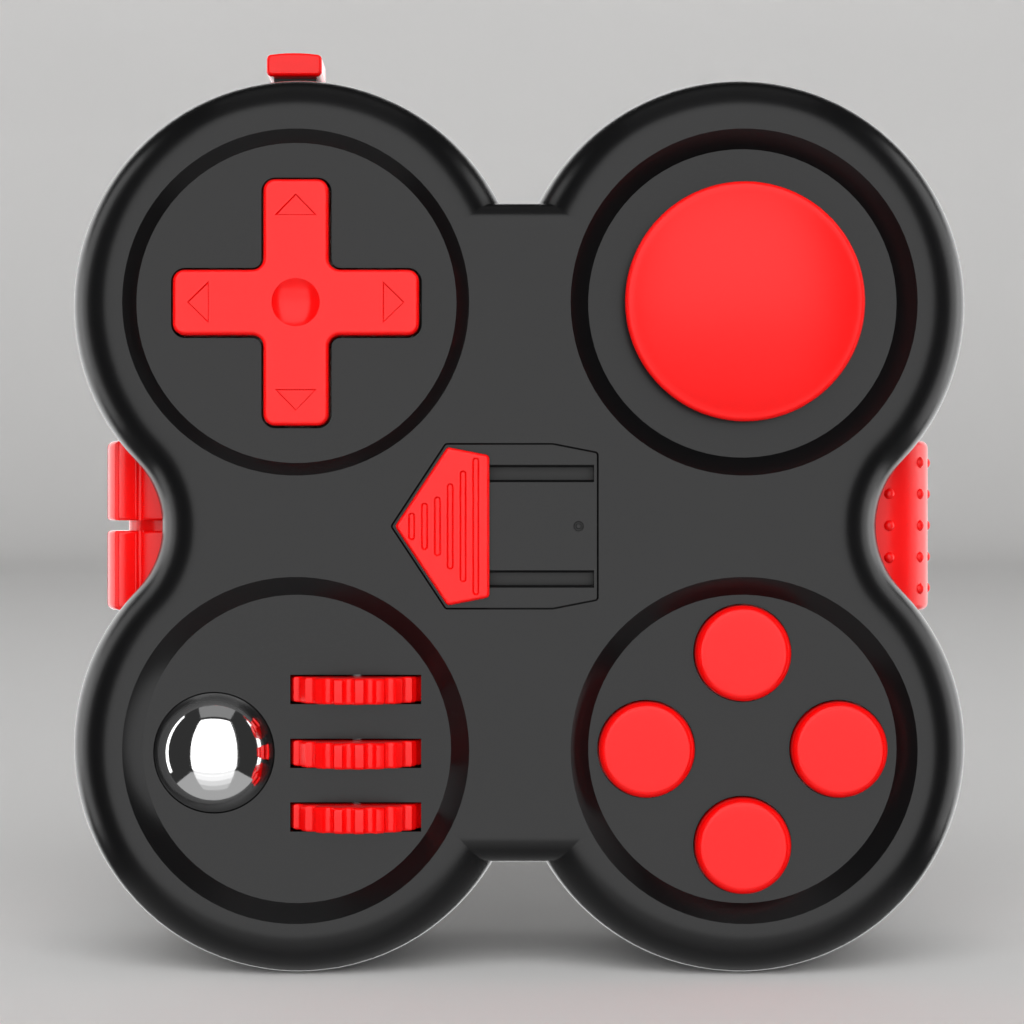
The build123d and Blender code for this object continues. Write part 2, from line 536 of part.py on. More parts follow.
with BuildPart() as dpad:
    extrude(cross_sketch(CROSS_UNDER_Y, 0), amount=CROSS_UNDER_Y - FACE_Y)
    fillet(dpad.faces().sort_by(Axis.Y)[0].edges(), 0.35)
    # thumb dimple in the middle
    dimple_depth = 0.6
    ball_r = (DIMPLE_RADIUS**2 + dimple_depth**2) / (2 * dimple_depth)
    with Locations((LEFT_X, FACE_Y + dimple_depth - ball_r, UPPER_Z)):
        Sphere(ball_r, mode=Mode.SUBTRACT)
    # arrow heads pressed into the arms, with sloping walls
    with BuildSketch(facing(LEFT_X, UPPER_Z, FACE_Y)):
        with PolarLocations(7.2, 4):
            Polygon((1.8, 0), (0, 1.75), (0, -1.75), align=None)
    extrude(amount=-ARROW_DEPTH, taper=ARROW_TAPER, mode=Mode.SUBTRACT)
    # plungers over the silicone domes, and ears for the cross pin
    for dx, dz in DOME_OFFSETS:
        add(rod(LEFT_X + dx, UPPER_Z + dz, CROSS_UNDER_Y - 0.2, CROSS_UNDER_Y + 1.35, 1.2))
    for side in (1, -1):
        ear_z = sorted((UPPER_Z + side * EAR_IN, UPPER_Z + side * EAR_OUT))
        add(slab((LEFT_X - 1.5, LEFT_X + 1.5), (CROSS_UNDER_Y - 0.2, CROSS_PIVOT_Y + 1.4), ear_z))
    with BuildSketch(Plane(origin=(LEFT_X, CROSS_PIVOT_Y, UPPER_Z - 4))):
        Circle(SPIDER_PIN_RADIUS + RUNNING)
    extrude(amount=8, mode=Mode.SUBTRACT)
save(dpad, "dpad")

with BuildPart() as dpad_spider:
    with BuildSketch(Plane(origin=(LEFT_X, CROSS_PIVOT_Y, UPPER_Z - SPIDER_REACH))):
        Circle(SPIDER_PIN_RADIUS)
    extrude(amount=2 * SPIDER_REACH)
    with BuildSketch(Plane(origin=(LEFT_X - SPIDER_REACH, CROSS_PIVOT_Y, UPPER_Z), z_dir=(1, 0, 0))):
        Circle(SPIDER_PIN_RADIUS)
    extrude(amount=2 * SPIDER_REACH)
    add(slab((LEFT_X - 1.1, LEFT_X + 1.1), (CROSS_PIVOT_Y - 0.95, CROSS_PIVOT_Y + 0.95),
             (UPPER_Z - 1.1, UPPER_Z + 1.1)))
save(dpad_spider, "dpad_spider")

with BuildPart() as dpad_bracket:
    plate_thick = 1.2
    with BuildSketch(facing(LEFT_X, UPPER_Z, CROSS_PLATE_Y + plate_thick)):
        Circle(CROSS_PLATE_RADIUS)
        with Locations(*[(x - LEFT_X, z - UPPER_Z) for x, z in CROSS_PLACES]):
            Circle(2.6)
    extrude(amount=plate_thick)
    for side in (1, -1):
        ear_x = sorted((LEFT_X + side * EAR_IN, LEFT_X + side * EAR_OUT))
        add(slab(ear_x, (CROSS_PIVOT_Y - 0.95, CROSS_PLATE_Y + 0.2), (UPPER_Z - 1.5, UPPER_Z + 1.5)))
    with BuildSketch(Plane(origin=(LEFT_X - 4, CROSS_PIVOT_Y, UPPER_Z), z_dir=(1, 0, 0))):
        Circle(SPIDER_PIN_RADIUS + RUNNING)
    extrude(amount=8, mode=Mode.SUBTRACT)
    for x, z in CROSS_PLACES:
        add(rod(x, z, CROSS_PLATE_Y, CROSS_PLATE_Y + plate_thick, SCREW_RADIUS + 0.1), mode=Mode.SUBTRACT)
save(dpad_bracket, "dpad_bracket")

with BuildPart() as dpad_membrane:
    with BuildSketch(facing(LEFT_X, UPPER_Z, CROSS_PLATE_Y)):
        Circle(10.2)
        Circle(4.3, mode=Mode.SUBTRACT)
    extrude(amount=0.5)
    for dx, dz in DOME_OFFSETS:
        with BuildSketch(facing(LEFT_X + dx, UPPER_Z + dz, CROSS_PLATE_Y - 0.4)):
            Circle(1.9)
        extrude(amount=1.1, taper=25)
save(dpad_membrane, "dpad_membrane")

dpad_screws = screws(CROSS_PLACES, CROSS_PLATE_Y + 1.2, 4.0)
save(dpad_screws, "dpad_screws")

# ---- Joystick ----
with BuildPart() as joystick_cap:
    edge_r, edge_y = CAP_RADIUS - CAP_EDGE, CAP_SHOULDER_Y + CAP_EDGE
    dome_r = (edge_r**2 + CAP_DOME**2) / (2 * CAP_DOME)
    apex_y = CAP_SHOULDER_Y - CAP_DOME
    half_rise = dome_r - sqrt(dome_r**2 - (edge_r / 2) ** 2)
    bend = CAP_EDGE * sin(pi / 4)
    with BuildSketch(depth_profile(RIGHT_X, UPPER_Z)):
        with BuildLine():
            ThreePointArc((0, apex_y), (edge_r / 2, apex_y + half_rise), (edge_r, CAP_SHOULDER_Y))
            ThreePointArc((edge_r, CAP_SHOULDER_Y), (edge_r + bend, edge_y - bend), (CAP_RADIUS, edge_y))
            Polyline((CAP_RADIUS, edge_y), (CAP_RADIUS - 0.15, CAP_UNDER_Y), (0, CAP_UNDER_Y), (0, apex_y))
        make_face()
    revolve(axis=depth_axis(RIGHT_X, UPPER_Z))
save(joystick_cap, "joystick_cap")

FOOT_Y = -1.7
with BuildPart() as joystick_stem:
    add(rod(RIGHT_X, UPPER_Z, CAP_UNDER_Y, FOOT_Y, STEM_RADIUS))
    add(rod(RIGHT_X, UPPER_Z, FOOT_Y - 0.8, FOOT_Y, STEM_RADIUS + 0.6))
    with BuildSketch(Plane(origin=(RIGHT_X, STICK_PIVOT_Y, UPPER_Z - GIMBAL_OUTER + 0.1))):
        Circle(GIMBAL_PIN_RADIUS)
    extrude(amount=2 * GIMBAL_OUTER - 0.2)
save(joystick_stem, "joystick_stem")

with BuildPart() as joystick_gimbal_ring:
    with BuildSketch(facing(RIGHT_X, UPPER_Z, STICK_PIVOT_Y + 1.25)):
        Circle(GIMBAL_OUTER)
    extrude(amount=2.5)
    with BuildSketch(Plane(origin=(RIGHT_X - 8.6, STICK_PIVOT_Y, UPPER_Z), z_dir=(1, 0, 0))):
        Circle(GIMBAL_PIN_RADIUS)
    extrude(amount=17.2)
    with BuildSketch(facing(RIGHT_X, UPPER_Z, STICK_PIVOT_Y + 2)):
        Circle(GIMBAL_INNER)
    extrude(amount=4, mode=Mode.SUBTRACT)
    with BuildSketch(Plane(origin=(RIGHT_X, STICK_PIVOT_Y, UPPER_Z - 7))):
        Circle(GIMBAL_PIN_RADIUS + RUNNING)
    extrude(amount=14, mode=Mode.SUBTRACT)
save(joystick_gimbal_ring, "joystick_gimbal_ring")

with BuildPart() as joystick_base:
    base_thick = 1.4
    with BuildSketch(facing(RIGHT_X, UPPER_Z, STICK_BASE_Y + base_thick)):
        Circle(11.0)
        with Locations(*[(x - RIGHT_X, z - UPPER_Z) for x, z in STICK_PLACES]):
            Circle(3.0)
    extrude(amount=base_thick)
    for side in (1, -1):
        ear_x = sorted((RIGHT_X + side * 6.6, RIGHT_X + side * 8.5))
        add(slab(ear_x, (STICK_PIVOT_Y - 1.6, STICK_BASE_Y + 0.3), (UPPER_Z - 2.2, UPPER_Z + 2.2)))
    with BuildSketch(Plane(origin=(RIGHT_X - 10, STICK_PIVOT_Y, UPPER_Z), z_dir=(1, 0, 0))):
        Circle(GIMBAL_PIN_RADIUS + RUNNING)
    extrude(amount=20, mode=Mode.SUBTRACT)
    for x, z in STICK_PLACES:
        add(rod(x, z, STICK_BASE_Y, STICK_BASE_Y + base_thick, SCREW_RADIUS + 0.1), mode=Mode.SUBTRACT)
save(joystick_base, "joystick_base")

joystick_spring = spring(RIGHT_X, UPPER_Z, FOOT_Y, STICK_BASE_Y, 2.3, 0.45, 4)
save(joystick_spring, "joystick_spring")
joystick_screws = screws(STICK_PLACES, STICK_BASE_Y + 1.4, 4.2)
save(joystick_screws, "joystick_screws")

# ---- Buttons ----
for name, (x, z) in BUTTONS.items():
    with BuildPart() as button:
        add(rod(x, z, FACE_Y, INNER_Y + 1.1, BUTTON_RADIUS))
        fillet(button.faces().sort_by(Axis.Y)[0].edges(), BUTTON_EDGE)
        add(rod(x, z, INNER_Y + 0.1, INNER_Y + 1.1, BUTTON_FLANGE_RADIUS))
        add(rod(x, z, INNER_Y + 0.1, BUTTON_PLATE_Y + 1.1, BUTTON_STEM_RADIUS))
    save(button, f"button_{name}")
    button_spring = spring(x, z, INNER_Y + 1.1, BUTTON_PLATE_Y, 2.3, 0.35, 3)
    save(button_spring, f"button_{name}_spring")

with BuildPart() as button_plate:
    with BuildSketch(facing(RIGHT_X, LOWER_Z, BUTTON_PLATE_Y + BUTTON_PLATE_THICK)):
        Circle(11.0)
        with Locations(*[(x - RIGHT_X, z - LOWER_Z) for x, z in BUTTON_PLACES]):
            Circle(2.4)
    extrude(amount=BUTTON_PLATE_THICK)
    for x, z in BUTTONS.values():
        add(rod(x, z, BUTTON_PLATE_Y, BUTTON_PLATE_Y + BUTTON_PLATE_THICK, BUTTON_STEM_RADIUS + 0.08),
            mode=Mode.SUBTRACT)
    for x, z in BUTTON_PLACES:
        add(rod(x, z, BUTTON_PLATE_Y, BUTTON_PLATE_Y + BUTTON_PLATE_THICK, SCREW_RADIUS + 0.1),
            mode=Mode.SUBTRACT)
save(button_plate, "button_plate")
button_screws = screws(BUTTON_PLACES, BUTTON_PLATE_Y + BUTTON_PLATE_THICK, 4.0)
save(button_screws, "button_screws")

# ---- Thumb wheels ----
TOOTH_GROOVE_RADIUS = 0.5
for name, z in WHEELS.items():
    with BuildPart() as wheel:
        with BuildSketch(Plane(origin=(WHEEL_X, WHEEL_Y, z - WHEEL_WIDTH / 2))):
            Circle(WHEEL_RADIUS)
        extrude(amount=WHEEL_WIDTH)
        chamfer(wheel.edges().filter_by(GeomType.CIRCLE), 0.2)
        with BuildSketch(Plane(origin=(WHEEL_X, WHEEL_Y, z - WHEEL_WIDTH), x_dir=(0, -1, 0), z_dir=(0, 0, 1))):
            with PolarLocations(WHEEL_RADIUS + 0.05, WHEEL_TEETH, start_angle=180 / WHEEL_TEETH):
                Circle(TOOTH_GROOVE_RADIUS)
            Circle(AXLE_RADIUS + RUNNING)
        extrude(amount=2 * WHEEL_WIDTH, mode=Mode.SUBTRACT)
    save(wheel, f"wheel_{name}")

# The frame's four cheeks stand between and beside the wheels
CHEEK_GAP = WHEEL_WIDTH / 2 + 0.22
CHEEK_THICK = 1.5
UPPER_WHEEL, MIDDLE_WHEEL, LOWER_WHEEL = WHEELS["upper"], WHEELS["middle"], WHEELS["lower"]
CHEEKS = [(UPPER_WHEEL + CHEEK_GAP, UPPER_WHEEL + CHEEK_GAP + CHEEK_THICK),
          (MIDDLE_WHEEL + CHEEK_GAP, UPPER_WHEEL - CHEEK_GAP),
          (LOWER_WHEEL + CHEEK_GAP, MIDDLE_WHEEL - CHEEK_GAP),
          (LOWER_WHEEL - CHEEK_GAP - CHEEK_THICK, LOWER_WHEEL - CHEEK_GAP)]
AXLE_Z = (CHEEKS[-1][0] - 0.1, CHEEKS[0][1] + 0.1)
with BuildPart() as wheel_axle:
    with BuildSketch(Plane(origin=(WHEEL_X, WHEEL_Y, AXLE_Z[0]))):
        Circle(AXLE_RADIUS)
    extrude(amount=AXLE_Z[1] - AXLE_Z[0])
    chamfer(wheel_axle.edges().filter_by(GeomType.CIRCLE), 0.15)
save(wheel_axle, "wheel_axle")

FRAME_HALF = 3.6
FRAME_THICK = 1.4
with BuildPart() as wheel_frame:
    add(slab((WHEEL_X - FRAME_HALF, WHEEL_X + FRAME_HALF), (FRAME_Y, FRAME_Y + FRAME_THICK),
             (CHEEKS[-1][0], CHEEKS[0][1])))
    for cheek in CHEEKS:
        add(slab((WHEEL_X - FRAME_HALF, WHEEL_X + FRAME_HALF), (INNER_Y, FRAME_Y + 0.3), cheek))
    for x, z in FRAME_PLACES:
        add(rod(x, z, FRAME_Y, FRAME_Y + FRAME_THICK, 1.9))
    side_x, side_z = FRAME_PLACES[0]
    add(slab((WHEEL_X, side_x), (FRAME_Y, FRAME_Y + FRAME_THICK), (side_z - 1.9, side_z + 1.9)))
    low_x, low_z = FRAME_PLACES[1]
    add(slab((low_x - 1.9, low_x + 1.9), (FRAME_Y, FRAME_Y + FRAME_THICK), (low_z, CHEEKS[-1][1])))
    for x, z in FRAME_PLACES:
        add(rod(x, z, FRAME_Y, FRAME_Y + FRAME_THICK, SCREW_RADIUS + 0.1), mode=Mode.SUBTRACT)
    with BuildSketch(Plane(origin=(WHEEL_X, WHEEL_Y, CHEEKS[-1][0] - 1))):
        Circle(AXLE_RADIUS + RUNNING)
    extrude(amount=20, mode=Mode.SUBTRACT)
save(wheel_frame, "wheel_frame")
wheel_frame_screws = screws(FRAME_PLACES, FRAME_Y + FRAME_THICK, 4.2)
save(wheel_frame_screws, "wheel_frame_screws")

with BuildPart() as wheel_click_spring:
    leaf_y = (FRAME_Y - 0.2, FRAME_Y)
    for z in WHEELS.values():
        finger = (z - WHEEL_WIDTH / 2, z + WHEEL_WIDTH / 2)
        add(slab((WHEEL_X - 3.2, WHEEL_X + 3.2), leaf_y, finger))
        with BuildSketch(Plane(origin=(WHEEL_X, FRAME_Y - 0.2, finger[0]))):
            Circle(0.2)
        extrude(amount=finger[1] - finger[0])
save(wheel_click_spring, "wheel_click_spring")

# ---- Ball ----
SEAT_Y, SEAT_BACK_Y = -4.4, -1.4
PLUNGER_BACK_Y = 1.5
HOUSING_RADIUS, HOUSING_BORE = 5.5, 4.45
HOUSING_BACK_Y = 6.4

with BuildPart() as roller_ball:
    with Locations((BALL_X, BALL_Y, BALL_Z)):
        Sphere(BALL_RADIUS)
save(roller_ball, "roller_ball")

with BuildPart() as ball_seat:
    add(rod(BALL_X, BALL_Z, SEAT_Y, SEAT_BACK_Y, 4.0))
    add(rod(BALL_X, BALL_Z, SEAT_Y, PLUNGER_BACK_Y - 0.4, 1.2))
    with Locations((BALL_X, BALL_Y, BALL_Z)):
        Sphere(BALL_RADIUS + 0.08, mode=Mode.SUBTRACT)
save(ball_seat, "ball_seat")

with BuildPart() as ball_plunger:
    add(rod(BALL_X, BALL_Z, SEAT_BACK_Y + 0.05, PLUNGER_BACK_Y, HOUSING_BORE - 0.07))
    add(rod(BALL_X, BALL_Z, SEAT_BACK_Y, PLUNGER_BACK_Y, 1.2 + RUNNING), mode=Mode.SUBTRACT)
save(ball_plunger, "ball_plunger")

with BuildPart() as ball_housing:
    add(rod(BALL_X, BALL_Z, HOUSING_Y, HOUSING_BACK_Y, HOUSING_RADIUS))
    for x, z in HOUSING_PLACES:
        ear = sorted((z, BALL_Z))
        add(rod(x, z, HOUSING_Y, HOUSING_Y + 1.2, 2.2))
        add(slab((x - 2.2, x + 2.2), (HOUSING_Y, HOUSING_Y + 1.2), ear))
        add(rod(x, z, HOUSING_Y, HOUSING_Y + 1.2, SCREW_RADIUS + 0.1), mode=Mode.SUBTRACT)
    add(rod(BALL_X, BALL_Z, HOUSING_Y, HOUSING_BACK_Y - 1.2, HOUSING_BORE), mode=Mode.SUBTRACT)
    with Locations((BALL_X, BALL_Y + BALL_TRAVEL, BALL_Z)):
        Sphere(BALL_RADIUS + BALL_RELIEF, mode=Mode.SUBTRACT)
save(ball_housing, "ball_housing")
ball_spring = spring(BALL_X, BALL_Z, PLUNGER_BACK_Y, HOUSING_BACK_Y - 1.2, 3.0, 0.5, 4)
save(ball_spring, "ball_spring")
ball_housing_screws = screws(HOUSING_PLACES, HOUSING_Y + 1.2, 4.0)
save(ball_housing_screws, "ball_housing_screws")

# ---- Slider ----
LEG_X = (-6.6, -3.0)
LEG_WIDTH = 0.85
RIB_PLACES = [(-8.94, 1.15), (-7.88, 1.96), (-6.81, 2.48), (-5.76, 3.56), (-4.70, 4.62), (-3.65, 5.68)]
with BuildPart() as slider_knob:
    extrude(knob_sketch(KNOB_UNDER_Y), amount=KNOB_UNDER_Y - KNOB_TOP_Y)
    fillet(slider_knob.edges().filter_by(Axis.Y), 0.35)
    fillet(slider_knob.faces().sort_by(Axis.Y)[0].edges(), 0.3)
    # thumb grooves, each with rounded ends
    for rib_x, rib_half in RIB_PLACES:
        with BuildSketch(facing(rib_x, PAD_Z, KNOB_TOP_Y)):
            SlotOverall(2 * rib_half, RIB_WIDTH, rotation=90)
        extrude(amount=-RIB_DEPTH, taper=RIB_TAPER, mode=Mode.SUBTRACT)
    for side in (1, -1):
        z = PAD_Z + side * RAIL_Z
        add(slab(LEG_X, (KNOB_UNDER_Y - 0.2, CARRIER_Y[1]), (z - LEG_WIDTH / 2, z + LEG_WIDTH / 2)))
save(slider_knob, "slider_knob")

with BuildPart() as slider_carrier:
    add(slab(CARRIER_X, CARRIER_Y, (PAD_Z - CARRIER_HALF, PAD_Z + CARRIER_HALF)))
    for side in (1, -1):
        z = PAD_Z + side * RAIL_Z
        add(slab((LEG_X[0] - 0.02, LEG_X[1] + 0.02), CARRIER_Y,
                 (z - LEG_WIDTH / 2 - 0.02, z + LEG_WIDTH / 2 + 0.02)), mode=Mode.SUBTRACT)
save(slider_carrier, "slider_carrier")

KEEPER_Y = (INNER_Y, INNER_Y + 1.0)
KEEPER_HALF = CARRIER_HALF + 1.5
WINDOW = (6.0, 1.6)
with BuildPart() as slider_keeper:
    add(slab((-15.6, 15.6), KEEPER_Y, (PAD_Z - KEEPER_HALF, PAD_Z + KEEPER_HALF)))
    for x, z in KEEPER_PLACES:
        add(rod(x, z, *KEEPER_Y, 2.2))
        add(slab((x - 2.2, x + 2.2), KEEPER_Y, sorted((z, PAD_Z))))
        add(rod(x, z, *KEEPER_Y, SCREW_RADIUS + 0.1), mode=Mode.SUBTRACT)
    add(slab((-WINDOW[0], WINDOW[0]), KEEPER_Y, (PAD_Z - WINDOW[1], PAD_Z + WINDOW[1])), mode=Mode.SUBTRACT)
save(slider_keeper, "slider_keeper")
slider_screws = screws(KEEPER_PLACES, KEEPER_Y[1], 2.9)
save(slider_screws, "slider_screws")

with BuildPart() as slider_detent_spring:
    add(slab((-7.5, 7.5), (KEEPER_Y[1], KEEPER_Y[1] + 0.2), (PAD_Z - 1.2, PAD_Z + 1.2)))
    with BuildSketch(Plane(origin=(0, KEEPER_Y[1], PAD_Z - 1.2))):
        Circle(0.85)
    extrude(amount=2.4)
    add(slab((-2, 2), (KEEPER_Y[1] + 0.2, KEEPER_Y[1] + 2), (PAD_Z - 2, PAD_Z + 2)), mode=Mode.SUBTRACT)
save(slider_detent_spring, "slider_detent_spring")

# ---- Flip switch ----
HUB_RADIUS = 1.9
SWITCH_EAR = (2.5, 3.7)
cap_x, cap_y, cap_z = SWITCH_CAP
neck_x, neck_y = SWITCH_NECK

with BuildPart() as switch_cap:
    # front profile with a slightly arched top, drawn across X and pushed back through the depth
    with BuildSketch(facing(SWITCH_X, SWITCH_CAP_Z, SEAM_Y + cap_y / 2)):
        with BuildLine():
            arch = 0.2
            Polyline((-cap_x / 2, cap_z - arch), (-cap_x / 2, 0), (cap_x / 2, 0), (cap_x / 2, cap_z - arch))
            ThreePointArc((cap_x / 2, cap_z - arch), (0, cap_z), (-cap_x / 2, cap_z - arch))
        make_face()
    extrude(amount=cap_y)
    fillet(switch_cap.edges().filter_by(Axis.Y), 0.45)
    fillet(switch_cap.faces().sort_by(Axis.Y)[0].edges() + switch_cap.faces().sort_by(Axis.Y)[-1].edges(), 0.35)
save(switch_cap, "switch_cap")

with BuildPart() as switch_stem:
    add(slab((SWITCH_X - neck_x / 2, SWITCH_X + neck_x / 2), (SEAM_Y - neck_y / 2, SEAM_Y + neck_y / 2),
             (SWITCH_PIVOT_Z, SWITCH_CAP_Z)))
    with BuildSketch(Plane(origin=(SWITCH_X - 2.3, SEAM_Y, SWITCH_PIVOT_Z), z_dir=(1, 0, 0))):
        Circle(HUB_RADIUS)
    extrude(amount=4.6)
    with BuildSketch(Plane(origin=(SWITCH_X - 3, SEAM_Y, SWITCH_PIVOT_Z), z_dir=(1, 0, 0))):
        Circle(ROCKER_PIN_RADIUS + RUNNING)
    extrude(amount=6, mode=Mode.SUBTRACT)
save(switch_stem, "switch_stem")

with BuildPart() as switch_pin:
    with BuildSketch(Plane(origin=(SWITCH_X - SWITCH_EAR[1], SEAM_Y, SWITCH_PIVOT_Z), z_dir=(1, 0, 0))):
        Circle(ROCKER_PIN_RADIUS)
    extrude(amount=2 * SWITCH_EAR[1])
    chamfer(switch_pin.edges().filter_by(GeomType.CIRCLE), 0.15)
save(switch_pin, "switch_pin")

with BuildPart() as switch_bracket:
    foot_z = (SWITCH_PIVOT_Z - 3.6, SWITCH_PIVOT_Z - 0.4)
    reach = SWITCH_EAR[1]
    add(slab((SWITCH_X - reach, SWITCH_X + reach), (INNER_Y, INNER_Y + 1.4), foot_z))
    for side in (1, -1):
        ear_x = sorted((SWITCH_X + side * SWITCH_EAR[0], SWITCH_X + side * SWITCH_EAR[1]))
        add(slab(ear_x, (INNER_Y, SEAM_Y + 1.8), foot_z))
        add(slab(ear_x, (SEAM_Y - 1.8, SEAM_Y + 1.8), (foot_z[0], SWITCH_PIVOT_Z + 1.5)))
    with BuildSketch(Plane(origin=(SWITCH_X - 5, SEAM_Y, SWITCH_PIVOT_Z), z_dir=(1, 0, 0))):
        Circle(ROCKER_PIN_RADIUS + RUNNING)
    extrude(amount=10, mode=Mode.SUBTRACT)
save(switch_bracket, "switch_bracket")

with BuildPart() as switch_spring:
    # leaf on the bracket's back plate whose bent end rests against the hub
    leaf_x = (SWITCH_X - 1.6, SWITCH_X + 1.6)
    add(slab(leaf_x, (INNER_Y + 1.4, INNER_Y + 1.6), (SWITCH_PIVOT_Z - 3.4, SWITCH_PIVOT_Z - 0.6)))
    add(slab(leaf_x, (INNER_Y + 1.4, SEAM_Y - HUB_RADIUS - 0.4),
             (SWITCH_PIVOT_Z - 3.4, SWITCH_PIVOT_Z - 3.2)))
    add(slab(leaf_x, (SEAM_Y - HUB_RADIUS - 0.6, SEAM_Y - HUB_RADIUS - 0.4),
             (SWITCH_PIVOT_Z - 3.4, SWITCH_PIVOT_Z + 0.8)))
save(switch_spring, "switch_spring")
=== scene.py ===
"""Looks of a four-lobed fidget pad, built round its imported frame.

The frame gives every place and size. This script rebuilds the pieces that the hand meets, such as buttons,
wheels, ball, rocker, bumpy pad, screws and springs, dresses every other node, and sets up a plain studio.
Lengths are in metres, +Z is up, and the face with the controls looks toward -Y.
"""

import logging
import math
from dataclasses import dataclass, field
from enum import Enum
from typing import Callable, Iterable, Sequence, Union

import bmesh
import bpy
from bpy.types import Material, Mesh, Node, NodeSocket, Object
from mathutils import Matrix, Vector


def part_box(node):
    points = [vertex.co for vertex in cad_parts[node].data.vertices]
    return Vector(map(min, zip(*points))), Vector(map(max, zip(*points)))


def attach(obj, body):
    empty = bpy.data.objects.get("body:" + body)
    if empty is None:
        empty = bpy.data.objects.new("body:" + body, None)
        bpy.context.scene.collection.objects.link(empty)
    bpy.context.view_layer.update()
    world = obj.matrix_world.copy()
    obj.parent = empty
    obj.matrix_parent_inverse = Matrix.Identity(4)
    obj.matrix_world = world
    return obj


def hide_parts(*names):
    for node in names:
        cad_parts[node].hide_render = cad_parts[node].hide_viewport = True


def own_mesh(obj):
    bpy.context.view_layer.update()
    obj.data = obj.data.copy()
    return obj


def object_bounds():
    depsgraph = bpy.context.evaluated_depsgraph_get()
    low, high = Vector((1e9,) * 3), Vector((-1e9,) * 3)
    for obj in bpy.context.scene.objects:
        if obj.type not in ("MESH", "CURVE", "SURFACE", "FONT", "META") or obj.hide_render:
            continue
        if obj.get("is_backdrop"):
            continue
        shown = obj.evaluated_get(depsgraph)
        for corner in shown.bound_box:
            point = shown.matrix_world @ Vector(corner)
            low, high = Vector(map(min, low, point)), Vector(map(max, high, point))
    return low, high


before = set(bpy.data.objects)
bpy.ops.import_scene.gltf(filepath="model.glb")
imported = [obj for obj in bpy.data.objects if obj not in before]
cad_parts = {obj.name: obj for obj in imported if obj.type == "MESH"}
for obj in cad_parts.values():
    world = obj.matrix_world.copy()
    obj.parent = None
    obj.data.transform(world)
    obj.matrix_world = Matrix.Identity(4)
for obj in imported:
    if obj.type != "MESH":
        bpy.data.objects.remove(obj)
LOG = logging.getLogger("fidget_pad")
MM = 0.001
FULL_TURN = 2 * math.pi
UP_FACE = (math.radians(90), 0.0, 0.0)  # turns a piece's own Z axis to look out of the face, toward -Y
WELD_DISTANCE = 0.001 * MM  # points of a turned piece that are this close become one
JOIN_DISTANCE = 0.0005 * MM  # the same for any finished piece
SHARP_CORNER = 35.0  # degrees
FLAT_END = 0.75  # turns
TURN_STEP = 0.7  # radians from one screw's cross to the next
WIRE_SIDES = 12
BUMP_SEGMENTS, BUMP_RINGS = 20, 12
MARK_TURNS = (0.35, 1.3, 2.4)  # radians
MARK_STRETCH = 26.0  # how many times longer than wide a mark is

Setting = Union[int, float, Sequence[float], Material, Object]


# ----- Node trees -----
class SocketKind(Enum):
    """Kinds of socket that a tree of this script offers."""

    GEOMETRY = "NodeSocketGeometry"
    COUNT = "NodeSocketInt"
    SIZE = "NodeSocketFloat"
    PLACE = "NodeSocketVector"
    COLOUR = "NodeSocketColor"
    MATERIAL = "NodeSocketMaterial"
    PIECE = "NodeSocketObject"


GEOMETRY, COUNT, SIZE, PLACE, COLOUR, MATERIAL, PIECE = SocketKind


class NodeTree:
    """A tree of nodes, built node by node."""

    def __init__(self, tree: bpy.types.NodeTree) -> None:
        """Takes the tree that the nodes go into."""
        self.tree = tree

    def feed(self, socket: NodeSocket, value: object) -> None:
        """Links a socket to a socket, or sets its value."""
        if isinstance(value, NodeSocket):
            self.tree.links.new(value, socket)
        else:
            socket.default_value = value

    def node(self, kind: str, inputs: dict[Union[str, int], object], **settings: object) -> Node:
        """Adds a node.

        Args:
            kind: Blender's type of node.
            inputs: What each input takes, by name or by number.
            settings: The node's own properties.

        Returns:
            The new node.
        """
        made = self.tree.nodes.new(kind)
        for title, value in settings.items():
            setattr(made, title, value)
        for key, value in inputs.items():
            self.feed(made.inputs[key], value)
        return made

    def math(self, operation: str, *terms: object) -> NodeSocket:
        """Adds a Math node and returns its value."""
        return self.node("ShaderNodeMath", dict(enumerate(terms)), operation=operation).outputs[0]

    def xyz(self, x: object, y: object, z: object) -> NodeSocket:
        """Adds a Combine XYZ node and returns its vector."""
        return self.node("ShaderNodeCombineXYZ", {0: x, 1: y, 2: z}).outputs[0]

    def around(self, radius: object, angle: object) -> list[NodeSocket]:
        """Returns the two coordinates of a place at that radius and angle."""
        return [self.math("MULTIPLY", radius, self.math(side, angle)) for side in ("COSINE", "SINE")]


class NodeGroup(NodeTree):
    """A node group with named sockets."""

    def __init__(self, name: str, kind: str, inputs: dict[str, SocketKind], outputs: dict[str, SocketKind]) -> None:
        """Makes an empty group.

        Args:
            name: The group's name.
            kind: Blender's type of tree, such as "ShaderNodeTree".
            inputs: Each input's name and kind, in order.
            outputs: Each output's name and kind, in order.
        """
        super().__init__(bpy.data.node_groups.new(name, kind))
        for way, sockets in (("INPUT", inputs), ("OUTPUT", outputs)):
            for title, socket in sockets.items():
                self.tree.interface.new_socket(title, in_out=way, socket_type=socket.value)
        self.source = self.tree.nodes.new("NodeGroupInput")
        self.sink = self.tree.nodes.new("NodeGroupOutput")

    def given(self, name: str) -> NodeSocket:
        """Returns the group's own input of that name."""
        return self.source.outputs[name]

    def finish(self, **outputs: object) -> bpy.types.NodeTree:
        """Feeds the group's outputs and returns the group."""
        for title, value in outputs.items():
            self.feed(self.sink.inputs[title], value)
        return self.tree


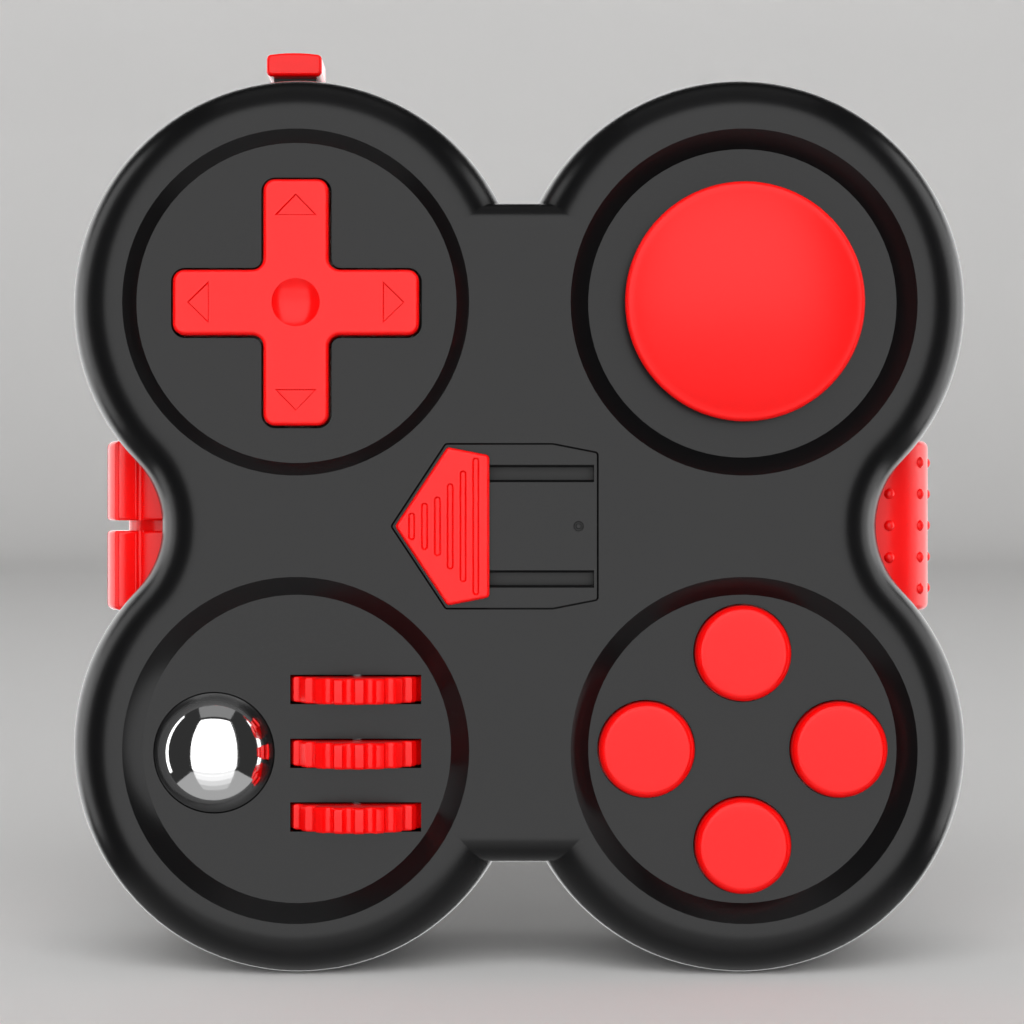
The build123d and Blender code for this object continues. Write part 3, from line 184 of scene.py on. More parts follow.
class GeometryGroup(NodeGroup):
    """A geometry group that starts from one mesh and ends with one material on a real mesh."""

    def __init__(self, name: str, start: str, inputs: dict[str, SocketKind]) -> None:
        """Makes an empty group.

        Args:
            name: The group's name.
            start: Name of the input for the mesh that it starts from.
            inputs: Each further input's name and kind, in order.
        """
        super().__init__(name, "GeometryNodeTree", {start: GEOMETRY, **inputs, "Material": MATERIAL},
                         {"Geometry": GEOMETRY})

    def moved(self, points: object, place: object, shift: object) -> NodeSocket:
        """Sets points to a place plus a shift, and returns the geometry."""
        added = self.node("ShaderNodeVectorMath", {0: place, 1: shift}, operation="ADD").outputs[0]
        return self.node("GeometryNodeSetPosition", {"Geometry": points, "Position": added}).outputs[0]

    def dressed(self, geometry: object) -> bpy.types.NodeTree:
        """Ends the group with Realize Instances and Set Material, and returns it."""
        real = self.node("GeometryNodeRealizeInstances", {0: geometry}).outputs[0]
        made = self.node("GeometryNodeSetMaterial", {"Geometry": real, "Material": self.given("Material")})
        return self.finish(Geometry=made.outputs[0])


def place_in_scene(name: str, data: bpy.types.ID) -> Object:
    """Makes an object of a mesh, light or camera, and puts it in the scene.

    Args:
        name: The object's name.
        data: What the object shows.

    Returns:
        The object.
    """
    made = bpy.data.objects.new(name, data)
    bpy.context.scene.collection.objects.link(made)
    return made


def evaluated_mesh(piece: Object) -> Mesh:
    """Returns a mesh of the piece as its modifiers leave it."""
    depsgraph = bpy.context.evaluated_depsgraph_get()
    return bpy.data.meshes.new_from_object(piece.evaluated_get(depsgraph), depsgraph=depsgraph)


def grow(name: str, start: Union[Mesh, list], tree: bpy.types.NodeTree, **settings: Setting) -> Object:
    """Runs a geometry tree on a mesh and keeps the result as a plain mesh.

    Args:
        name: The new object's name.
        start: The mesh that the tree starts from, or the points of a polyline.
        tree: The geometry tree.
        settings: The tree's inputs, by name with _ for a space.

    Returns:
        An object at the origin with the finished mesh and no modifier.
    """
    piece = place_in_scene(name, start if isinstance(start, Mesh) else polyline(name, start))
    modifier = piece.modifiers.new("build", "NODES")
    modifier.node_group = tree
    wanted = {title.replace("_", " "): value for title, value in settings.items()}
    for item in tree.interface.items_tree:
        if item.item_type == "SOCKET" and item.in_out == "INPUT" and item.name in wanted:
            modifier[item.identifier] = wanted[item.name]
    made = evaluated_mesh(piece)
    piece.modifiers.clear()
    piece.data = made
    made.name = name
    return piece


def turned_tree() -> bpy.types.NodeTree:
    """Tree that turns a profile about an axis, with or without grooves across its rim.

    Returns:
        The tree. The mesh it runs on is the profile: x is the radius, y the height along the axis.
    """
    tree = GeometryGroup("turned_piece", "Profile", {
        "Segments": COUNT, "Centre": PLACE, "Turn": PLACE, "Rim Radius": SIZE, "Teeth": COUNT,
        "Groove Radius": SIZE, "Groove Lift": SIZE, "Softness": SIZE, "Rim Band": SIZE})
    profile, segments = tree.given("Profile"), tree.given("Segments")
    rings = tree.node("GeometryNodeAttributeDomainSize", {"Geometry": profile}, component="MESH").outputs[0]
    grid = tree.node("GeometryNodeMeshGrid", {"Size X": 1.0, "Size Y": 1.0, "Vertices Y": rings,
                                              "Vertices X": tree.math("ADD", segments, 1.0)})
    position = tree.node("GeometryNodeInputPosition", {}).outputs[0]
    across, along, _ = tree.node("ShaderNodeSeparateXYZ", {0: position}).outputs
    step = tree.math("MULTIPLY", tree.math("ADD", along, 0.5), tree.math("SUBTRACT", rings, 1.0))
    sample = tree.node("GeometryNodeSampleIndex",
                       {"Geometry": profile, "Value": position, "Index": tree.math("ROUND", step)},
                       data_type="FLOAT_VECTOR", domain="POINT").outputs[0]
    radius, height, _ = tree.node("ShaderNodeSeparateXYZ", {0: sample}).outputs
    angle = tree.math("MULTIPLY", tree.math("ADD", across, 0.5), FULL_TURN)
    # distance along the rim from the nearest groove's middle
    teeth, rim = tree.given("Teeth"), tree.given("Rim Radius")
    phase = tree.math("DIVIDE", tree.math("MULTIPLY", angle, teeth), FULL_TURN)
    offset = tree.math("SUBTRACT", tree.math("FRACT", phase), 0.5)
    pitch = tree.math("DIVIDE", tree.math("MULTIPLY", rim, FULL_TURN), tree.math("MAXIMUM", teeth, 1.0))
    along_rim = tree.math("MULTIPLY", offset, pitch)
    reach = tree.math("SUBTRACT", tree.math("POWER", tree.given("Groove Radius"), 2.0),
                      tree.math("MULTIPLY", along_rim, along_rim))
    depth = tree.math("SUBTRACT", tree.math("SQRT", tree.math("MAXIMUM", reach, 0.0)), tree.given("Groove Lift"))
    groove = tree.math("SMOOTH_MAX", depth, 0.0, tree.given("Softness"))
    band = tree.given("Rim Band")
    inside = tree.math("SUBTRACT", radius, tree.math("SUBTRACT", rim, band))
    share = tree.node("ShaderNodeClamp", {0: tree.math("DIVIDE", inside, band)}).outputs[0]
    share = tree.math("MULTIPLY", share, tree.math("MINIMUM", teeth, 1.0))
    cut = tree.math("SUBTRACT", radius, tree.math("MULTIPLY", groove, share))
    turned = tree.node("ShaderNodeVectorRotate", {"Vector": tree.xyz(*tree.around(cut, angle), height),
                                                  "Rotation": tree.given("Turn")},
                       rotation_type="EULER_XYZ").outputs[0]
    shaped = tree.moved(grid.outputs[0], turned, tree.given("Centre"))
    closed = tree.node("GeometryNodeMergeByDistance", {"Geometry": shaped, "Distance": WELD_DISTANCE})
    return tree.dressed(closed.outputs[0])


def bump_tree() -> bpy.types.NodeTree:
    """Tree that adds rows of round bumps to a half-round bar that stands along Z.

    Returns:
        The tree. The mesh it runs on is the bar itself.
    """
    tree = GeometryGroup("bump_rows", "Bar", {
        "Centre": PLACE, "Bar Radius": SIZE, "Rows": COUNT, "Columns": COUNT, "Row Pitch": SIZE,
        "Column Step": SIZE, "Bump Radius": SIZE})
    rows, columns = tree.given("Rows"), tree.given("Columns")
    points = tree.node("GeometryNodeMeshLine", {"Count": tree.math("MULTIPLY", rows, columns)}).outputs[0]
    index = tree.node("GeometryNodeInputIndex", {}).outputs[0]
    row = tree.math("FLOOR", tree.math("DIVIDE", index, columns))
    column = tree.math("MODULO", index, columns)

    def from_middle(value: NodeSocket, count: NodeSocket) -> NodeSocket:
        """Returns how far a number in a row of count is from the row's middle."""
        return tree.math("SUBTRACT", value, tree.math("DIVIDE", tree.math("SUBTRACT", count, 1.0), 2.0))

    angle = tree.math("MULTIPLY", from_middle(column, columns), tree.given("Column Step"))
    height = tree.math("MULTIPLY", from_middle(row, rows), tree.given("Row Pitch"))
    spot = tree.xyz(*tree.around(tree.given("Bar Radius"), angle), height)
    seats = tree.moved(points, spot, tree.given("Centre"))
    bump = tree.node("GeometryNodeMeshUVSphere", {"Segments": BUMP_SEGMENTS, "Rings": BUMP_RINGS,
                                                   "Radius": tree.given("Bump Radius")})
    bumps = tree.node("GeometryNodeInstanceOnPoints", {"Points": seats, "Instance": bump.outputs[0]}).outputs[0]
    joined = tree.node("GeometryNodeJoinGeometry", {})
    for part in (bumps, tree.given("Bar")):
        tree.feed(joined.inputs[0], part)
    return tree.dressed(joined.outputs[0])


def seat_tree() -> bpy.types.NodeTree:
    """Tree that sets a copy of one piece at each point of a mesh.

    Returns:
        The tree. The mesh it runs on holds one point for each copy.
    """
    tree = GeometryGroup("seated_copies", "Seats", {"Piece": PIECE, "Turn Step": SIZE})
    piece = tree.node("GeometryNodeObjectInfo", {"Object": tree.given("Piece")}).outputs["Geometry"]
    index = tree.node("GeometryNodeInputIndex", {}).outputs[0]
    turn = tree.xyz(0.0, tree.math("MULTIPLY", index, tree.given("Turn Step")), 0.0)
    copies = tree.node("GeometryNodeInstanceOnPoints", {"Points": tree.given("Seats"), "Instance": piece,
                                                        "Rotation": turn})
    return tree.dressed(copies.outputs[0])


def coil_tree() -> bpy.types.NodeTree:
    """Tree that winds a compression spring along Y with one closed turn at each end.

    Returns:
        The tree. The mesh it runs on is left out of the result.
    """
    tree = GeometryGroup("coil_spring", "Unused", {
        "Start": PLACE, "Length": SIZE, "Radius": SIZE, "Wire Radius": SIZE, "Turns": SIZE, "Steps": COUNT})
    steps, turns = tree.given("Steps"), tree.given("Turns")
    points = tree.node("GeometryNodeMeshLine", {"Count": tree.math("ADD", steps, 1.0)}).outputs[0]
    index = tree.node("GeometryNodeInputIndex", {}).outputs[0]
    turn = tree.math("MULTIPLY", tree.math("DIVIDE", index, steps), turns)
    angle = tree.math("MULTIPLY", turn, FULL_TURN)
    # each end lies flat for FLAT_END of a turn, and the wire rises evenly between
    rise = tree.node("ShaderNodeMapRange", {"Value": turn, "From Min": FLAT_END,
                                            "From Max": tree.math("SUBTRACT", turns, FLAT_END), "To Min": 0.0,
                                            "To Max": tree.given("Length")}).outputs[0]
    x, z = tree.around(tree.given("Radius"), angle)
    path = tree.moved(points, tree.xyz(x, rise, z), tree.given("Start"))
    line = tree.node("GeometryNodeMeshToCurve", {"Mesh": path}).outputs[0]
    wire = tree.node("GeometryNodeCurvePrimitiveCircle", {"Resolution": WIRE_SIDES,
                                                              "Radius": tree.given("Wire Radius")})
    swept = tree.node("GeometryNodeCurveToMesh", {"Curve": line, "Profile Curve": wire.outputs[0],
                                                  "Fill Caps": True})
    return tree.dressed(swept.outputs[0])


# ----- Surface effects that several finishes share -----
def mould_skin() -> bpy.types.NodeTree:
    """Shader group for a moulded skin: faint flow marks in the colour, fine grain and uneven gloss.

    Returns:
        The group, with outputs Colour, Roughness and Height.
    """
    tree = NodeGroup("mould_skin", "ShaderNodeTree",
                     {"Vector": PLACE, "Colour": COLOUR, "Deep Colour": COLOUR, "Flow Scale": SIZE,
                      "Grain Scale": SIZE, "Roughness": SIZE, "Unevenness": SIZE},
                     {"Colour": COLOUR, "Roughness": SIZE, "Height": SIZE})
    vector = tree.given("Vector")
    flow = tree.node("ShaderNodeTexNoise", {"Vector": vector, "Scale": tree.given("Flow Scale"), "Detail": 3.0,
                                            "Distortion": 0.6}).outputs[0]
    grain = tree.node("ShaderNodeTexNoise", {"Vector": vector, "Scale": tree.given("Grain Scale"),
                                             "Detail": 4.0, "Roughness": 0.6}).outputs[0]
    # a Mix node's two colour inputs are 6 and 7, and its colour output is 2
    tint = tree.node("ShaderNodeMix", {"Factor": flow, 6: tree.given("Colour"), 7: tree.given("Deep Colour")},
                     data_type="RGBA")
    mixed = tree.math("ADD", tree.math("MULTIPLY", flow, 0.6), tree.math("MULTIPLY", grain, 0.4))
    swing = tree.math("MULTIPLY", tree.math("SUBTRACT", mixed, 0.5), tree.given("Unevenness"))
    gloss = tree.node("ShaderNodeClamp", {0: tree.math("ADD", tree.given("Roughness"), swing), 1: 0.02, 2: 1.0})
    return tree.finish(Colour=tint.outputs[2], Roughness=gloss.outputs[0], Height=grain)


def hairlines() -> bpy.types.NodeTree:
    """Shader group for the fine marks that handling or tooling leaves, in three directions.

    Returns:
        The group, with one output, Mask, which is 1 in a mark.
    """
    tree = NodeGroup("hairlines", "ShaderNodeTree", {"Vector": PLACE, "Scale": SIZE, "Spread": SIZE},
                     {"Mask": SIZE})
    scaled = tree.node("ShaderNodeVectorMath", {0: tree.given("Vector"), 3: tree.given("Scale")},
                       operation="SCALE").outputs[0]
    total = None
    for turn in MARK_TURNS:
        aligned = tree.node("ShaderNodeMapping", {"Vector": scaled, "Rotation": (0.2 * turn, turn, turn / 2),
                                                  "Scale": (1.0, 1.0, MARK_STRETCH)}).outputs[0]
        noise = tree.node("ShaderNodeTexNoise", {"Vector": aligned, "Scale": 1.0, "Detail": 2.0}).outputs[0]
        line = tree.math("ABSOLUTE", tree.math("SUBTRACT", noise, 0.5))
        mark = tree.node("ShaderNodeMapRange", {"Value": line, "From Min": 0.0, "From Max": tree.given("Spread"),
                                                "To Min": 1.0, "To Max": 0.0}).outputs[0]
        total = mark if total is None else tree.math("MAXIMUM", total, mark)
    return tree.finish(Mask=total)


# ----- Finishes -----
@dataclass(frozen=True)
class Finish:
    """What every finish of the pad has: two shades, gloss, relief, and the fine marks that handling leaves."""

    name: str
    colour: tuple[float, float, float]
    deep_colour: tuple[float, float, float]
    roughness: float
    flow_scale: float = 90.0
    grain_scale: float = 2600.0
    unevenness: float = 0.06
    marks: float = 0.03  # how much rougher a mark is
    mark_scale: float = 420.0
    mark_spread: float = 0.012
    relief_height: float = 0.004 * MM
    relief_strength: float = 0.35
    sunk_marks: bool = False  # whether the relief is the marks, sunk, and not the grain, raised
    metallic: float = 0.0
    ior: float = 1.34

    def material(self) -> Material:
        """Builds the material from the shared groups.

        Returns:
            The material.
        """
        material = bpy.data.materials.new(self.name)
        material.use_nodes = True
        material.diffuse_color = (*self.colour, 1.0)
        tree = NodeTree(material.node_tree)
        shader = next(node for node in material.node_tree.nodes if node.type == "BSDF_PRINCIPLED")
        place = tree.node("ShaderNodeTexCoord", {}).outputs["Object"]
        skin = tree.node("ShaderNodeGroup", {
            "Vector": place, "Colour": (*self.colour, 1.0), "Deep Colour": (*self.deep_colour, 1.0),
            "Flow Scale": self.flow_scale, "Grain Scale": self.grain_scale, "Roughness": self.roughness,
            "Unevenness": self.unevenness}, node_tree=GROUPS["mould_skin"]).outputs
        mask = tree.node("ShaderNodeGroup", {"Vector": place, "Scale": self.mark_scale, "Spread": self.mark_spread},
                         node_tree=GROUPS["hairlines"]).outputs["Mask"]
        rough = tree.math("ADD", skin["Roughness"], tree.math("MULTIPLY", mask, self.marks))
        bump = tree.node("ShaderNodeBump", {"Strength": self.relief_strength, "Distance": self.relief_height,
                                            "Height": mask if self.sunk_marks else skin["Height"]},
                         invert=self.sunk_marks)
        for title, value in (("Base Color", skin["Colour"]), ("Roughness", rough), ("Normal", bump.outputs[0]),
                             ("Metallic", self.metallic), ("IOR", self.ior)):
            tree.feed(shader.inputs[title], value)
        return material


@dataclass(frozen=True)
class MouldedPlastic(Finish):
    """Injection-moulded plastic or rubber with a raised grain."""


@dataclass(frozen=True)
class PolishedMetal(Finish):
    """Plated, drawn or polished metal with sunk marks."""

    flow_scale: float = 150.0
    grain_scale: float = 1800.0
    unevenness: float = 0.03
    marks: float = 0.08
    mark_scale: float = 300.0
    mark_spread: float = 0.015
    relief_height: float = 0.001 * MM
    relief_strength: float = 0.2
    sunk_marks: bool = True
    metallic: float = 1.0
    ior: float = 1.5


BLACK_SHELL = MouldedPlastic("black_shell", (0.0035, 0.0035, 0.0037), (0.0024, 0.0024, 0.0026), 0.26,
                             unevenness=0.03, marks=0.012)
BLACK_INNER = MouldedPlastic("black_inner", (0.006, 0.006, 0.006), (0.004, 0.004, 0.004), 0.34, grain_scale=1900.0)
RED_GLOSS = MouldedPlastic("red_gloss", (0.86, 0.0016, 0.0016), (0.83, 0.0012, 0.0012), 0.20, unevenness=0.03,
                           marks=0.02)
RED_SATIN = MouldedPlastic("red_satin", (0.86, 0.0016, 0.0016), (0.83, 0.0012, 0.0012), 0.36,
                           grain_scale=3400.0, relief_height=0.006 * MM)
RED_RUBBER = MouldedPlastic("red_rubber", (0.86, 0.0020, 0.0020), (0.82, 0.0015, 0.0015), 0.30,
                            grain_scale=2200.0, relief_height=0.006 * MM)
ACETAL = MouldedPlastic("acetal", (0.78, 0.77, 0.72), (0.74, 0.73, 0.68), 0.35)
SILICONE = MouldedPlastic("silicone", (0.66, 0.67, 0.66), (0.60, 0.61, 0.60), 0.45, marks=0.0)
CHROME_BALL = PolishedMetal("chrome_ball", (0.95, 0.95, 0.95), (0.93, 0.93, 0.935), 0.035, marks=0.03,
                            unevenness=0.01)
STEEL = PolishedMetal("steel", (0.62, 0.62, 0.62), (0.52, 0.52, 0.53), 0.28)
SPRING_STEEL = PolishedMetal("spring_steel", (0.50, 0.50, 0.52), (0.40, 0.40, 0.43), 0.24)
FINISHES = (BLACK_SHELL, BLACK_INNER, RED_GLOSS, RED_SATIN, RED_RUBBER, ACETAL, SILICONE, CHROME_BALL, STEEL,
            SPRING_STEEL)

PAPER = MouldedPlastic("backdrop_paper", (0.86, 0.855, 0.85), (0.84, 0.835, 0.83), 0.9, flow_scale=3.0,
                       grain_scale=500.0, marks=0.0)

GROUPS: dict[str, bpy.types.NodeTree] = {"mould_skin": mould_skin(), "hairlines": hairlines()}
TREES: dict[str, bpy.types.NodeTree] = {"turned": turned_tree(), "bumps": bump_tree(), "seats": seat_tree(),
                                        "coil": coil_tree()}
MATERIALS: dict[str, Material] = {finish.name: finish.material() for finish in FINISHES}


# ----- Mesh helpers -----
def polyline(name: str, points: Iterable[Sequence[float]]) -> Mesh:
    """Makes a mesh of points joined in a row.

    Args:
        name: The mesh's name.
        points: Places in metres, with two or three numbers each.

    Returns:
        The mesh.
    """
    places = [tuple(point) + (0.0,) * (3 - len(point)) for point in points]
    mesh = bpy.data.meshes.new(name)
    mesh.from_pydata(places, [(i, i + 1) for i in range(len(places) - 1)], [])
    return mesh


def arc(centre: Sequence[float], radius: float, start: float, end: float, steps: int) -> list[tuple[float, float]]:
    """Points of an arc, its ends included.

    Args:
        centre: The arc's centre.
        radius: Its radius.
        start: First angle in degrees.
        end: Last angle in degrees.
        steps: Number of stretches.

    Returns:
        The points, each with two numbers.
    """
    angles = [math.radians(start + (end - start) * i / steps) for i in range(steps + 1)]
    return [(centre[0] + radius * math.cos(a), centre[1] + radius * math.sin(a)) for a in angles]


def tidy_mesh(piece: Object, sharp: float = SHARP_CORNER) -> Object:
    """Points a piece's faces outward, shades it smooth and keeps its corners crisp.

    Args:
        piece: The object.
        sharp: Corners sharper than this, in degrees, stay crisp.

    Returns:
        The same object.
    """
    work = bmesh.new()
    work.from_mesh(piece.data)
    bmesh.ops.remove_doubles(work, verts=work.verts, dist=JOIN_DISTANCE)
    bmesh.ops.recalc_face_normals(work, faces=work.faces)
    for face in work.faces:
        face.smooth = True
    for edge in work.edges:
        edge.smooth = len(edge.link_faces) == 2 and edge.calc_face_angle(0.0) < math.radians(sharp)
    work.to_mesh(piece.data)
    work.free()
    return piece


def keep_mesh(work: bmesh.types.BMesh, name: str, material: Material) -> Object:
    """Turns a bmesh into an object of one material, and frees the bmesh.

    Args:
        work: The bmesh.
        name: The object's name.
        material: The material.

    Returns:
        The object.
    """
    mesh = bpy.data.meshes.new(name)
    work.to_mesh(mesh)
    work.free()
    mesh.materials.append(material)
    return place_in_scene(name, mesh)


def loft(name: str, rings: Sequence[Sequence[Vector]], finish: Finish) -> Object:
    """Skins closed rings that have the same number of points, with a flat cap at each end.

    Args:
        name: The new object's name.
        rings: The rings, from one end to the other.
        finish: What the piece is made of.

    Returns:
        The finished object.
    """
    work = bmesh.new()
    rows = [[work.verts.new(point) for point in ring] for ring in rings]
    count = len(rows[0])
    for low, high in zip(rows, rows[1:]):
        for i in range(count):
            j = (i + 1) % count
            work.faces.new((low[i], low[j], high[j], high[i]))
    for end in (rows[0], rows[-1]):
        work.faces.new(end)
    return keep_mesh(work, name, MATERIALS[finish.name])


def middle(node: str) -> Vector:
    """Returns the middle of a node's box."""
    low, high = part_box(node)
    return (low + high) / 2


def settle(piece: Object, body: str, node: str) -> None:
    """Gives a finished piece to its body and the node that it stands for.

    Args:
        piece: The object, in place.
        body: The body that it rides on.
        node: The node that it stands for.
    """
    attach(piece, body)
    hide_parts(node)
    LOG.info("%s rides on %s, %d faces", piece.name, body, len(piece.data.polygons))


def dress(finish: Finish, *nodes: str) -> None:
    """Gives the frame's own nodes a finish."""
    for node in nodes:
        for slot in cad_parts[node].material_slots:
            slot.material = MATERIALS[finish.name]
        LOG.info("%s is dressed in %s", node, finish.name)


# ----- Hardware -----
@dataclass
class PanScrew:
    """Cross-recessed pan-head screw that is driven from the back, along -Y."""

    shank_radius: float = 0.7 * MM
    head_radius: float = 1.35 * MM
    head_height: float = 0.8 * MM
    length: float = 4.0 * MM
    thread_pitch: float = 0.55 * MM
    thread_depth: float = 0.13 * MM

    def profile(self) -> list[tuple[float, float]]:
        """Returns the screw's outline from the middle of its head to its point, with the seat at height 0."""
        head_r, head_h = self.head_radius, self.head_height
        points = [(0.0, head_h), (head_r * 0.5, head_h)]
        points += arc((head_r * 0.5, head_h * 0.45), head_r * 0.5, 84, 8, 6)[:-1]
        points = [(r, min(h, head_h)) for r, h in points]
        points += [(head_r, head_h * 0.35), (head_r, 0.04 * head_h), (head_r * 0.97, 0.0), (self.shank_radius, 0.0)]
        height, core = -0.5 * self.thread_pitch, self.shank_radius - self.thread_depth
        while height - self.thread_pitch > self.shank_radius - self.length:
            points += [(core, height), (self.shank_radius, height - 0.42 * self.thread_pitch),
                       (self.shank_radius, height - 0.58 * self.thread_pitch)]
            height -= self.thread_pitch
        points += [(core, height), (core * 0.9, self.shank_radius * 0.8 - self.length), (0.0, -self.length)]
        return points

    def template(self, name: str) -> Object:
        """Makes one screw at the origin with its head toward +Y and the cross sunk in it.

        Args:
            name: The object's name.

        Returns:
            The object.
        """
        body = grow(name, self.profile(), TREES["turned"], Segments=32, Centre=(0.0, 0.0, 0.0),
                    Turn=(math.radians(-90), 0.0, 0.0), Rim_Radius=self.head_radius, Teeth=0,
                    Groove_Radius=0.0, Groove_Lift=0.0, Softness=0.0, Rim_Band=self.head_radius / 2,
                    Material=MATERIALS[STEEL.name])
        tidy_mesh(body)
        cutter = self._cross(name + "_cross")
        modifier = body.modifiers.new("cross", "BOOLEAN")
        modifier.operation, modifier.solver, modifier.object = "DIFFERENCE", "EXACT", cutter
        cut = evaluated_mesh(body)
        body.modifiers.clear()
        body.data = cut
        bpy.data.objects.remove(cutter)
        return tidy_mesh(body)

    def _cross(self, name: str) -> Object:
        """Makes the tapered cross that the driver's recess leaves.

        Args:
            name: The object's name.

        Returns:
            The object.
        """
        wide, thin, deep = 0.56 * self.head_radius, 0.13 * self.head_radius, 0.55 * self.head_height
        outline = []
        for quarter in range(4):
            a = math.radians(90 * quarter)
            for along, side in ((wide, -thin), (wide, thin), (thin, thin)):
                outline.append((along * math.cos(a) - side * math.sin(a), along * math.sin(a) + side * math.cos(a)))
        rings = [[Vector((x * s, self.head_height + y, z * s)) for x, z in outline]
                 for s, y in ((1.15, 0.2 * self.head_height), (0.72, -deep))]
        return tidy_mesh(loft(name, rings, STEEL))


@dataclass
class Spring:
    """Compression spring along Y, in the casing, that stands for the frame's own."""

    node: str
    wire_radius: float
    turns: float
    steps_per_turn: int = 36

    def build(self, joint: str = "", travel: float = 0.0) -> None:
        """Winds the spring inside its node's box, and gives it a mesh of its own where a joint presses it.

        Args:
            joint: The joint that presses it, if one does.
            travel: How much shorter that makes it. Not used.
        """
        low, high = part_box(self.node)
        centre, name = middle(self.node), self.node + "_coil"
        radius = (high.x - low.x) / 2 - self.wire_radius
        start = (centre.x, low.y + self.wire_radius, centre.z)
        piece = grow(name, [(0.0, 0.0)], TREES["coil"], Start=start,
                     Length=high.y - low.y - 2 * self.wire_radius, Radius=radius, Wire_Radius=self.wire_radius,
                     Turns=self.turns, Steps=int(self.turns * self.steps_per_turn),
                     Material=MATERIALS[SPRING_STEEL.name])
        settle(tidy_mesh(piece), "casing", self.node)
        if joint:
            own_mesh(piece)


class Layout(Enum):
    """Where the screws of a set sit in their node's box: which side across and up each one is on."""

    FALLING = ((-1, 1), (1, -1))
    FALLING_WITH_MIDDLE = ((-1, 1), (1, -1), (0, 0))
    RISING = ((1, 1), (-1, -1))
    COLUMN = ((0, 1), (0, -1))


def drive_screws(node: str, places: Sequence[tuple[float, float]], screw: PanScrew) -> None:
    """Drives a set of screws into the casing, with their heads level with the back of their node's box.

    Args:
        node: The frame's node of those screws.
        places: Each screw's x and z.
        screw: The screw.
    """
    seat_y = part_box(node)[1].y - screw.head_height
    template = screw.template(node + "_one")
    piece = grow(node + "_set", [(x, seat_y, z) for x, z in places], TREES["seats"], Piece=template,
                 Turn_Step=TURN_STEP, Material=MATERIALS[STEEL.name])
    bpy.data.objects.remove(template)
    settle(tidy_mesh(piece), "casing", node)


def seat_screws(node: str, layout: Layout, length: float = PanScrew.length) -> None:
    """Drives a set of the usual screws, set out in their node's box.

    Args:
        node: The frame's node of those screws.
        layout: How they are set out.
        length: A screw's length below its head.
    """
    screw = PanScrew(length=length)
    low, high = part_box(node)
    inset = screw.head_radius
    columns = {-1: low.x + inset, 0: (low.x + high.x) / 2, 1: high.x - inset}
    rows = {-1: low.z + inset, 0: (low.z + high.z) / 2, 1: high.z - inset}
    drive_screws(node, [(columns[across], rows[up]) for across, up in layout.value], screw)


# ----- Sub-assemblies -----
@dataclass
class Casing:
    """The two shells and the four screws that hold them."""

    screw: PanScrew = field(
        default_factory=lambda: PanScrew(1.0 * MM, 2.2 * MM, 1.5 * MM, 9.0 * MM, 0.8 * MM, 0.18 * MM))
    screw_reach_x: float = 20.0 * MM
    screw_reach_z: float = 17.5 * MM

    def build(self) -> None:
        """Dresses the shells and drives the screws."""
        dress(BLACK_SHELL, "front_shell", "back_shell")
        centre = middle("case_screws")
        places = [(centre.x + side * self.screw_reach_x, centre.z) for side in (1, -1)]
        places += [(centre.x, centre.z + side * self.screw_reach_z) for side in (1, -1)]
        drive_screws("case_screws", places, self.screw)


@dataclass
class TurnedControl:
    """A control that is turned about an axis along Y."""

    segments: int = 128

    def turn(self, node: str, body: str, finish: Finish, outline: Sequence[tuple[float, float]],
             sharp: float = SHARP_CORNER) -> None:
        """Turns an outline about the middle of its node.

        Args:
            node: The node that the piece stands for.
            body: The body that it rides on.
            finish: Its finish.
            outline: Radius and depth of each point, from the axis at the front to the axis at the back.
            sharp: Corners sharper than this, in degrees, stay crisp.
        """
        centre = middle(node)
        profile = [(radius, -depth) for radius, depth in outline]
        piece = grow(node + "_body", profile, TREES["turned"], Segments=self.segments,
                     Centre=(centre.x, 0.0, centre.z), Turn=UP_FACE, Rim_Radius=1.0, Teeth=0, Groove_Radius=0.0,
                     Groove_Lift=0.0, Softness=0.0, Rim_Band=0.1, Material=MATERIALS[finish.name])
        settle(tidy_mesh(piece, sharp), body, node)


@dataclass
class ButtonCluster(TurnedControl):
    """Four round buttons, each with a flange behind the face and a guide stem in its spring."""

    radius: float = 3.98 * MM
    edge: float = 0.70 * MM
    crown: float = 0.02 * MM
    crown_steps: int = 8
    flange_front: float = 3.0 * MM
    flange_back: float = 4.0 * MM
    stem_radius: float = 1.5 * MM
    foot: float = 0.2 * MM
    travel: float = 0.9 * MM

    def build(self) -> None:
        """Builds the buttons and springs and dresses the plate."""
        for side in ("upper", "lower", "left", "right"):
            node = f"button_{side}"
            self.turn(node, node, RED_GLOSS, self._outline(node))
            Spring(f"{node}_spring", 0.175 * MM, 5.0).build(f"{node}_press", self.travel)
        dress(BLACK_INNER, "button_plate")
        seat_screws("button_screws", Layout.FALLING_WITH_MIDDLE)

    def _outline(self, node: str) -> list[tuple[float, float]]:
        """Returns radius and depth along one button, from its front to the end of its stem."""
        low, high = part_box(node)
        front, back, flange = low.y, high.y, (high.x - low.x) / 2
        shoulder = self.radius - self.edge
        shares = [i / self.crown_steps for i in range(self.crown_steps + 1)]
        points = [(shoulder * share, front + self.crown * share**2) for share in shares]
        start = front + self.crown
        points += [(shoulder + r, start + self.edge - h) for r, h in arc((0, 0), self.edge, 90, 0, 12)[1:]]
        lead = self.foot / 2
        points += [(self.radius, front + self.flange_front), (flange - lead, front + self.flange_front),
                   (flange, front + self.flange_front + lead), (flange, front + self.flange_back - lead),
                   (flange - lead, front + self.flange_back), (self.stem_radius, front + self.flange_back),
                   (self.stem_radius, back - self.foot), (self.stem_radius - self.foot, back), (0.0, back)]
        return points


